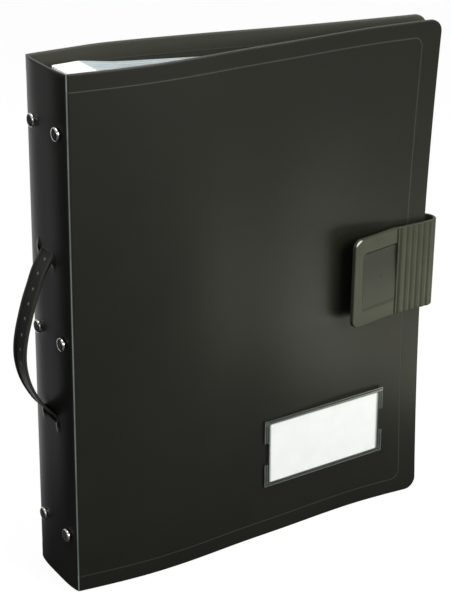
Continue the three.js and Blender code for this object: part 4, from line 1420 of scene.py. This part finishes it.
def band_loop(front, back, low=CLOSURE_LOW, high=CLOSURE_HIGH):
    """Closed section of the closure across its height, from its front and back points at one place."""
    loop = []
    edge = BAND_EDGE
    for row in BAND_ROWS:
        if row < edge:
            z = low + row
        elif row > CLOSURE_HEIGHT - edge:
            z = high - (CLOSURE_HEIGHT - row)
        else:
            z = lerp(low + edge, high - edge, (row - edge) / (CLOSURE_HEIGHT - 2 * edge))
        loop.append(front(z, rounding(min(row, CLOSURE_HEIGHT - row), edge)))
    for z in (high, lerp(high, low, 0.33), lerp(high, low, 0.66), low):
        loop.append(back(z))
    return loop


def band_groove(x):
    """Depth of the band's grooves, its ridge and the flex groove beside the tab, at a place across."""
    right = BAND_START.x - 0.15
    depth = 0.0
    first = right - GROOVE_PITCH * 0.25
    for groove in range(GROOVES):
        away = x - (first - groove * GROOVE_PITCH)
        depth += 0.38 * math.exp(-((away / 0.85) ** 2))
    ridge = TAB_HINGE.x + 2.2 + 1.1
    depth -= 0.2 * (1 - smooth_step(0.5, 1.5, abs(x - ridge)))
    flex = TAB_HINGE.x + 1.0
    depth += 0.36 * (1 - smooth_step(0.3, 1.3, abs(x - flex)))
    return depth


RECESS_DEPTH = 1.5


def recess_depth(along, z):
    """Depth of the tab's recess, scooped out deepest at its top, with sloping walls and rounded corners."""
    left, frame_end, radius = 8.0, 10.0, 2.4
    right = TAB_LENGTH + 12
    inside = round_frame(
        TAB_LENGTH - along - (left + right) / 2, z - CENTRE,
        (right - left) / 2, CLOSURE_HEIGHT / 2 - frame_end, radius,
    )
    foot = CLOSURE_LOW + frame_end
    scoop = lerp(0.3, 1, smooth_step(foot - 2, foot + 34, z))
    return RECESS_DEPTH * smooth_step(0.8, -1.7, inside) * scoop


def corner_reach(along, z):
    """How far a place lies towards the upper corner of the tab's tip, from the centre of its round."""
    return 0.86 * (z - CLOSURE_HIGH + TAB_CORNER) + 0.51 * (along - TAB_LENGTH + TAB_CORNER)


def along_tab(spot):
    """How far a spot lies along the tab, from its hinge."""
    return (TAB_HINGE - spot).x / math.cos(TAB_FLARE)


# Share of the recess depth, which the closure's finish turns into painted shade.
def tab_recess_shade(spot):
    along = along_tab(spot)
    return recess_depth(along, spot.z) / RECESS_DEPTH if along > 0 else 0.0


def tab_polish(spot):
    return smooth_step(4.5, 4.9, corner_reach(along_tab(spot), spot.z))


def on_bend(share):
    """Place on the bend's middle line and its outward direction, from the base at 0 to the band at 1."""
    angle = lerp(math.pi / 2 + BASE_ANGLE, -math.pi / 2, share)
    out = Vector((math.cos(angle), math.sin(angle), 0))
    return BEND_CENTRE + out * BEND_RADIUS, out


def bend_web(name, first, last):
    """Half of the flexible bend, swept along the bend's middle line from one share to the other."""
    half = CLOSURE_THICKNESS / 2
    steps = 22
    loops = []
    for step in range(steps + 1):
        point, out = on_bend(lerp(first, last, step / steps))

        def front(z, fall, point=point, out=out):
            spot = point + out * (half - fall)
            return Vector((spot.x, spot.y, z))

        def rear(z, point=point, out=out):
            spot = point - out * half
            return Vector((spot.x, spot.y, z))

        loops.append(band_loop(front, rear))
    piece = swept(name, loops)
    settle(piece, ["closure"], 40)
    begin, finish = on_bend(first)[0], on_bend(last)[0]
    lift = CORNER + Vector((0, 0, CENTRE))
    start = (lift + begin.lerp(finish, 0.08)) * MILLIMETRE
    end = (lift + finish.lerp(begin, 0.08)) * MILLIMETRE
    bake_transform(piece)
    return piece


def tab_piece():
    """Front band and framed tab in one moulding, with the stud behind the tab."""
    loops = []
    for x in stations((BAND_START.x, TAB_HINGE.x, 0.3)):
        depth = band_groove(x)

        def front(z, fall, x=x, depth=depth):
            return Vector((x, BAND_FRONT + depth + fall, z))

        def back(z, x=x):
            return Vector((x, BAND_FRONT + CLOSURE_THICKNESS, z))

        loops.append(band_loop(front, back))
    direction = Vector((-math.cos(TAB_FLARE), -math.sin(TAB_FLARE), 0))
    inward = Vector((-math.sin(TAB_FLARE), math.cos(TAB_FLARE), 0))
    tip = TAB_LENGTH - 0.9
    for along in stations((0.5, 28, 0.5), (28, 34, 0.4), (34, tip, 0.45), (tip, TAB_LENGTH, 0.15)):
        inset = rounding(TAB_LENGTH - along, TAB_CORNER)
        round_off = rounding(TAB_LENGTH - along, 0.7)
        base = TAB_HINGE + direction * along
        joint = 1 - smooth_step(0, 2.2, along)

        def front(z, fall, base=base, along=along, round_off=round_off, joint=joint):
            deep = max(fall, round_off * 0.9)
            worn = 0.6 * max(corner_reach(along, z) - 4.7, 0)
            spot = base + inward * (max(deep, worn) + max(recess_depth(along, z), joint * 0.9))
            return Vector((spot.x, spot.y, z))

        def back(z, base=base, round_off=round_off, joint=joint):
            thick = lerp(TAB_THICKNESS, CLOSURE_THICKNESS * 1.05, joint)
            spot = base + inward * (thick - round_off * 0.4)
            return Vector((spot.x, spot.y, z))

        loops.append(band_loop(front, back, CLOSURE_LOW + inset, CLOSURE_HIGH - inset))
    band = swept("closure_band_and_tab", loops)
    stud_low = TAB_HINGE.y - STUD_INSET * math.sin(TAB_FLARE) + TAB_THICKNESS * 0.6
    stud_top = drawn_box("closure_socket")[0].y + 2.2
    outline = [
        (2.9, stud_low), (2.6, stud_low + 1.4), (2.0, stud_low + 1.9), (2.0, stud_top - 1.0),
        (2.2, stud_top - 0.7), (2.2, stud_top - 0.4), (1.9, stud_top),
    ]
    stud = turned("stud", outline, 32)
    turn(stud, Matrix.Rotation(-math.pi / 2, 4, "X"))
    turn(stud, Matrix.Translation((STUD_X, 0, CENTRE)))
    whole = joined([band, stud], "closure_band_and_tab")
    # The recess depth is stored for the finish to paint shade into the hollow.
    measure(whole, "hollow", tab_recess_shade)
    measure(whole, "polish", tab_polish)
    return settle(whole, ["closure"], 40)


class BINDER_OT_closure(bpy.types.Operator):
    """Closure: plate on the back cover, flexible bend, grooved band and framed tab"""

    bl_idname = "binder.closure"
    bl_label = "Closure"

    def execute(self, context):
        total = BASE_LENGTH + CLOSURE_REACH
        half = CLOSURE_THICKNESS / 2
        base = block(
            "closure_plate", (-total, -half, CLOSURE_LOW), (0, half, CLOSURE_HIGH),
            upright=(1, 5.0, lambda centre: centre.x < -total / 2),
        )
        pick(base, "FACE", lambda centre, normal: normal.y > 0.9)
        bpy.ops.mesh.inset(thickness=3.2, depth=0)
        bpy.ops.mesh.inset(thickness=0.7, depth=-0.45)
        done()
        soften(base, 0.3, 2, 35)
        place_on_base(base, 0, 0)
        settle(base, ["closure"], 40)
        carry(base, "back_leaf", ["closure_base"])
        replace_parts(bend_web("closure_bend_back_web", 0, 0.5), "closure_bend")
        bend_web("closure_bend_front_web", 0.5, 1)
        carry(tab_piece(), "tab", ["closure_tab"])
        return {"FINISHED"}


# Label


def label_matrix():
    """The label's own flat frame: across, up and out from the foot of its left side."""
    def on_cover(x, z):
        return Vector((x, front_face(x, z), z))

    foot = on_cover(LABEL_LEFT, LABEL_BOTTOM)
    across = (on_cover(LABEL_LEFT + LABEL_WIDTH, LABEL_BOTTOM) - foot).normalized()
    up = on_cover(LABEL_LEFT, LABEL_BOTTOM + LABEL_HEIGHT) - foot
    up = (up - across * up.dot(across)).normalized()
    out = across.cross(up)
    origin = foot + out * SEAT_GAP
    return Matrix((
        (across.x, up.x, out.x, origin.x), (across.y, up.y, out.y, origin.y),
        (across.z, up.z, out.z, origin.z), (0, 0, 0, 1),
    ))


class BINDER_OT_label(bpy.types.Operator):
    """Clear label holder and its white card"""

    bl_idname = "binder.label"
    bl_label = "Label holder"

    def execute(self, context):
        width, height, thick, window, rail = LABEL_WIDTH, LABEL_HEIGHT, 1.3, 0.4, 2.0
        notch_low, notch_high, notch = height / 2 - 7.5, height / 2 + 7.5, 2.6
        flat = rail + 2.6
        columns = stations(
            (0, notch, 0.65), (notch, flat, 0.5), (flat, width - flat, 4.5),
            (width - flat, width - notch, 0.5), (width - notch, width, 0.65),
        )
        rows = stations(
            (0, 1.2, 0.4), (1.2, 4.4, 0.32), (4.4, notch_low, 2.0), (notch_low, notch_high, 2.5),
            (notch_high, height - 3.4, 2.0), (height - 3.4, height, 0.4),
        )

        def place(column, row):
            u, v = columns[column], rows[row]
            border = min(u, width - u, v)
            weld = 0.28 * math.exp(-(((border - 1.5) / 0.35) ** 2))
            weld += 0.2 * math.exp(-(((v - 3.1) / 0.3) ** 2))
            lift = 0.45 * smooth_step(height - 4, height, v)
            return Vector((u, v, thick - weld + lift * 0.4))

        film = new_grid("label_window", len(columns) - 1, len(rows) - 1, place)

        def milky_and_highlight(corner):
            """How milky the film is here: along its rim and its inner weld, and along its lifted top, where a
            painted highlight grows towards the right.
            """
            u, v = corner.x, corner.y
            border, below_top = min(u, width - u, v), height - v
            lines = 0.6 * math.exp(-((border / 0.35) ** 2)) + 0.35 * math.exp(-(((border - 2.1) / 0.3) ** 2))
            # Along the top the milky colour grows to the right: partly the lifted film, partly a painted
            # highlight.
            top = 0.35 + 0.65 * u / width
            top *= 0.7 * math.exp(-((below_top / 0.35) ** 2)) + math.exp(-(((below_top - 1.9) / 0.5) ** 2))
            return min(lines * smooth_step(height + 1, height - 1, v) + top, 1)

        def in_notch(centre, normal):
            inside = notch_low < centre.y < notch_high
            return inside and (centre.x < notch or centre.x > width - notch)

        cut(film, in_notch)
        modify(film, "SOLIDIFY", thickness=window, offset=-1, use_rim=True)
        soften(film, 0.1, 2, 50)

        def is_flange(centre, normal):
            return min(centre.x, width - centre.x) < 4.4 or centre.y < 2.5 or centre.y > height - 3.0

        paint(film, 1, is_flange)
        # The milky share, with the painted highlight along the top, is stored for the film's finish.
        measure(film, "weld", milky_and_highlight)
        turn(film, label_matrix())
        settle(film, ["window", "flange"], 40)
        carry(film, "front_leaf")
        inset = 0.1
        spans = [(rail, width - rail, inset, rail)]
        for low, high in ((inset, rail), (width - rail, width - inset)):
            spans += [(low, high, inset, notch_low), (low, high, notch_high, height - 2 * inset)]
        rails = joined(
            [block("rail", (left, foot, 0), (right, top, thick - window), 0.12)
             for left, right, foot, top in spans],
            "label_rails",
        )
        turn(rails, label_matrix())
        settle(rails, ["flange"], 40)
        carry(rails, "front_leaf", ["label_holder"])
        card_width = 86.4
        left = (width - card_width) / 2 + 0.4
        card_thickness = 0.3
        back = (thick - window - card_thickness) / 2
        card = block(
            "label_insert", (left, 2.4, back), (left + card_width, 42.4, back + card_thickness), 0.05, 1,
            (2, 0.8, lambda centre: True),
        )
        turn(card, label_matrix())
        settle(card, ["card"], 40)
        carry(card, "card", ["label_card"])
        return {"FINISHED"}


# Stage


FLOOR_SHADE = (0.1, 0.1, 0.1)
# Floor colour in reflections behind the object: painted shade.
PAINTED_SHADE_IN_REFLECTIONS = (0.009, 0.010, 0.018)
FLOOR_WHITE_SHARE = 0.93
WORLD_STRENGTH = 0.5
SKY_STRENGTH = 0.7
# Lamps: name, place, what they face, sides, watts and tint.
LAMPS = [
    ("key", (0.55, -1.25, 0.8), (0, 0, 0.15), 0.8, 19.5, (1, 0.99, 0.87)),
    ("top", (-0.05, 0, 1.4), (0, 0, 0.1), 0.7, 14.0, (1, 1, 1)),
    ("glow", (0.27, -0.2, 0.01), (0.27, -0.2, 1), 0.16, 0.16, (0.97, 1, 0.8)),
    ("side_glow", (0.4, -0.16, 0.01), (0.4, -0.16, 1), 0.2, 0.38, (0.97, 1, 0.85)),
    ("rim", (-0.75, -0.85, 0.75), (-0.12, 0, 0.16), 0.14, 1.6, (0.95, 0.98, 1)),
]

SENSOR_WIDTH = 36.0
LENS = 104.064
CAMERA_PLACE = Vector((-0.520976, -0.824630, 0.570052))
CAMERA_AZIMUTH = math.radians(-32.016)
CAMERA_ELEVATION = math.radians(22.996)
CAMERA_ROLL = math.radians(0.706)


def lamp(name, place, target, side, watts, tint):
    data = bpy.data.lights.new(name, "AREA")
    data.shape = "SQUARE"
    data.size = side
    data.energy = watts
    data.color = tint
    light = bpy.data.objects.new(name, data)
    bpy.context.scene.collection.objects.link(light)
    light.location = place
    light.rotation_mode = "QUATERNION"
    light.rotation_quaternion = (Vector(target) - Vector(place)).to_track_quat("-Z", "Y")
    light.visible_camera = False


def white_floor():
    """Floor: white to the camera with a faint shadow; in reflections it is painted dark behind the object,
    with a rear patch that glows white as a painted reflection.
    """
    ground = Finish("floor", Roughness=0.9, Specular_IOR_Level=0.1)
    white = ground.node("Emission", {}, {"Color": colour(1, 1, 1), "Strength": 1.0})
    seen = ground.node("LightPath", output="Is Camera Ray")
    mirrored = ground.node("LightPath", output="Is Glossy Ray")
    across = ground.node("SeparateXYZ", {}, {"Vector": ground.place()}, "X")
    behind = ground.node("SeparateXYZ", {}, {"Vector": ground.place()}, "Y")
    # Behind the object, reflections see the floor painted dark: painted shade.
    painted_shade_mask = mirrored * ground.band(behind, -0.1, 0.1)
    dim = ground.blend(painted_shade_mask, colour(*FLOOR_SHADE), colour(*PAINTED_SHADE_IN_REFLECTIONS))
    ground.drive("Base Color", ground.blend(seen, dim, colour(0.95, 0.95, 0.95)))
    bearing = (across + 0.123) / ground.node("Math", {"operation": "MAXIMUM"}, {0: behind, 1: 0.002})
    # A patch behind and left of the object glows white in reflections only: a painted reflection, no lamp.
    painted_reflection_patch = ground.band(bearing, -0.4, -0.18) * ground.band(behind, 0.01, 0.2)
    white_share = seen * FLOOR_WHITE_SHARE + mirrored * painted_reflection_patch
    plain = Wire(ground, ground.surface.outputs[0])
    mixed = ground.node("MixShader", {}, {0: white_share, 1: plain, 2: white})
    ground.tree.links.new(mixed.socket, ground.tree.nodes["Material Output"].inputs["Surface"])
    return ground.material


def studio_world():
    """World: plain light on the object, a brighter sky in its reflections and white behind it."""
    world = bpy.data.worlds.new("studio")
    world.use_nodes = True
    nodes, links = world.node_tree.nodes, world.node_tree.links
    nodes.clear()
    skies = []
    for tint, strength in (
        ((0.96, 0.98, 1.0, 1), WORLD_STRENGTH), ((1, 1, 0.95, 1), SKY_STRENGTH), ((1, 1, 1, 1), 1.0)
    ):
        sky = nodes.new("ShaderNodeBackground")
        sky.inputs["Color"].default_value = tint
        sky.inputs["Strength"].default_value = strength
        skies.append(sky.outputs[0])
    plain, bright, behind = skies
    path = nodes.new("ShaderNodeLightPath")
    reflected = nodes.new("ShaderNodeMath")
    reflected.operation = "MAXIMUM"
    links.new(path.outputs["Is Glossy Ray"], reflected.inputs[0])
    links.new(path.outputs["Is Transmission Ray"], reflected.inputs[1])
    surface = plain
    for share, sky in ((reflected.outputs[0], bright), (path.outputs["Is Camera Ray"], behind)):
        mix = nodes.new("ShaderNodeMixShader")
        links.new(share, mix.inputs[0])
        links.new(surface, mix.inputs[1])
        links.new(sky, mix.inputs[2])
        surface = mix.outputs[0]
    output = nodes.new("ShaderNodeOutputWorld")
    links.new(surface, output.inputs["Surface"])
    return world


def photo_camera():
    """The photograph's camera."""
    data = bpy.data.cameras.new("camera")
    data.sensor_width = SENSOR_WIDTH
    data.lens = LENS
    camera = bpy.data.objects.new("camera", data)
    bpy.context.scene.collection.objects.link(camera)
    level = math.cos(CAMERA_ELEVATION)
    back = Vector((
        math.sin(CAMERA_AZIMUTH) * level, -math.cos(CAMERA_AZIMUTH) * level, math.sin(CAMERA_ELEVATION),
    ))
    right = (-back).cross(Vector((0, 0, 1))).normalized()
    up = back.cross(right)
    turned_right = right * math.cos(CAMERA_ROLL) + up * math.sin(CAMERA_ROLL)
    turned_up = up * math.cos(CAMERA_ROLL) - right * math.sin(CAMERA_ROLL)
    camera.matrix_world = Matrix((
        (turned_right.x, turned_up.x, back.x, CAMERA_PLACE.x),
        (turned_right.y, turned_up.y, back.y, CAMERA_PLACE.y),
        (turned_right.z, turned_up.z, back.z, CAMERA_PLACE.z),
        (0, 0, 0, 1),
    ))
    return camera


class BINDER_OT_stage(bpy.types.Operator):
    """Pale floor, soft studio light and the photograph's camera"""

    bl_idname = "binder.stage"
    bl_label = "Stage"

    def execute(self, context):
        scene = context.scene
        scene.view_settings.view_transform = "Standard"
        deselect()
        bpy.ops.mesh.primitive_plane_add(size=12, location=(0, 0, -0.0004))
        floor = context.active_object
        floor.name = "floor"
        floor.data.name = "floor"
        floor.data.materials.append(white_floor())
        scene.world = studio_world()
        for settings in LAMPS:
            lamp(*settings)
        scene.camera = photo_camera()
        return {"FINISHED"}


OPERATORS = [
    BINDER_OT_covers, BINDER_OT_spine, BINDER_OT_rivets, BINDER_OT_press_stud, BINDER_OT_strap,
    BINDER_OT_mechanism, BINDER_OT_pockets, BINDER_OT_closure, BINDER_OT_label, BINDER_OT_stage,
]


class BINDER_PT_panel(bpy.types.Panel):
    """Lists the binder's pieces in the sidebar"""

    bl_label = "Ring binder"
    bl_idname = "BINDER_PT_panel"
    bl_space_type = "VIEW_3D"
    bl_region_type = "UI"
    bl_category = "Binder"

    def draw(self, context):
        layout = self.layout
        for group in (context.scene.binder_sizes, context.scene.binder_colours):
            for name in group.__annotations__:
                layout.prop(group, name)
        for operator in OPERATORS:
            layout.operator(operator.bl_idname)


CLASSES = [BinderSizes, BinderColours, *OPERATORS, BINDER_PT_panel]


def register():
    for item in CLASSES:
        bpy.utils.register_class(item)
    bpy.types.Scene.binder_sizes = bpy.props.PointerProperty(type=BinderSizes)
    bpy.types.Scene.binder_colours = bpy.props.PointerProperty(type=BinderColours)


def unregister():
    del bpy.types.Scene.binder_colours
    del bpy.types.Scene.binder_sizes
    for item in reversed(CLASSES):
        bpy.utils.unregister_class(item)


def main():
    register()
    for operator in OPERATORS:
        group, name = operator.bl_idname.split(".")
        getattr(getattr(bpy.ops, group), name)()


if __name__ == "__main__":
    main()
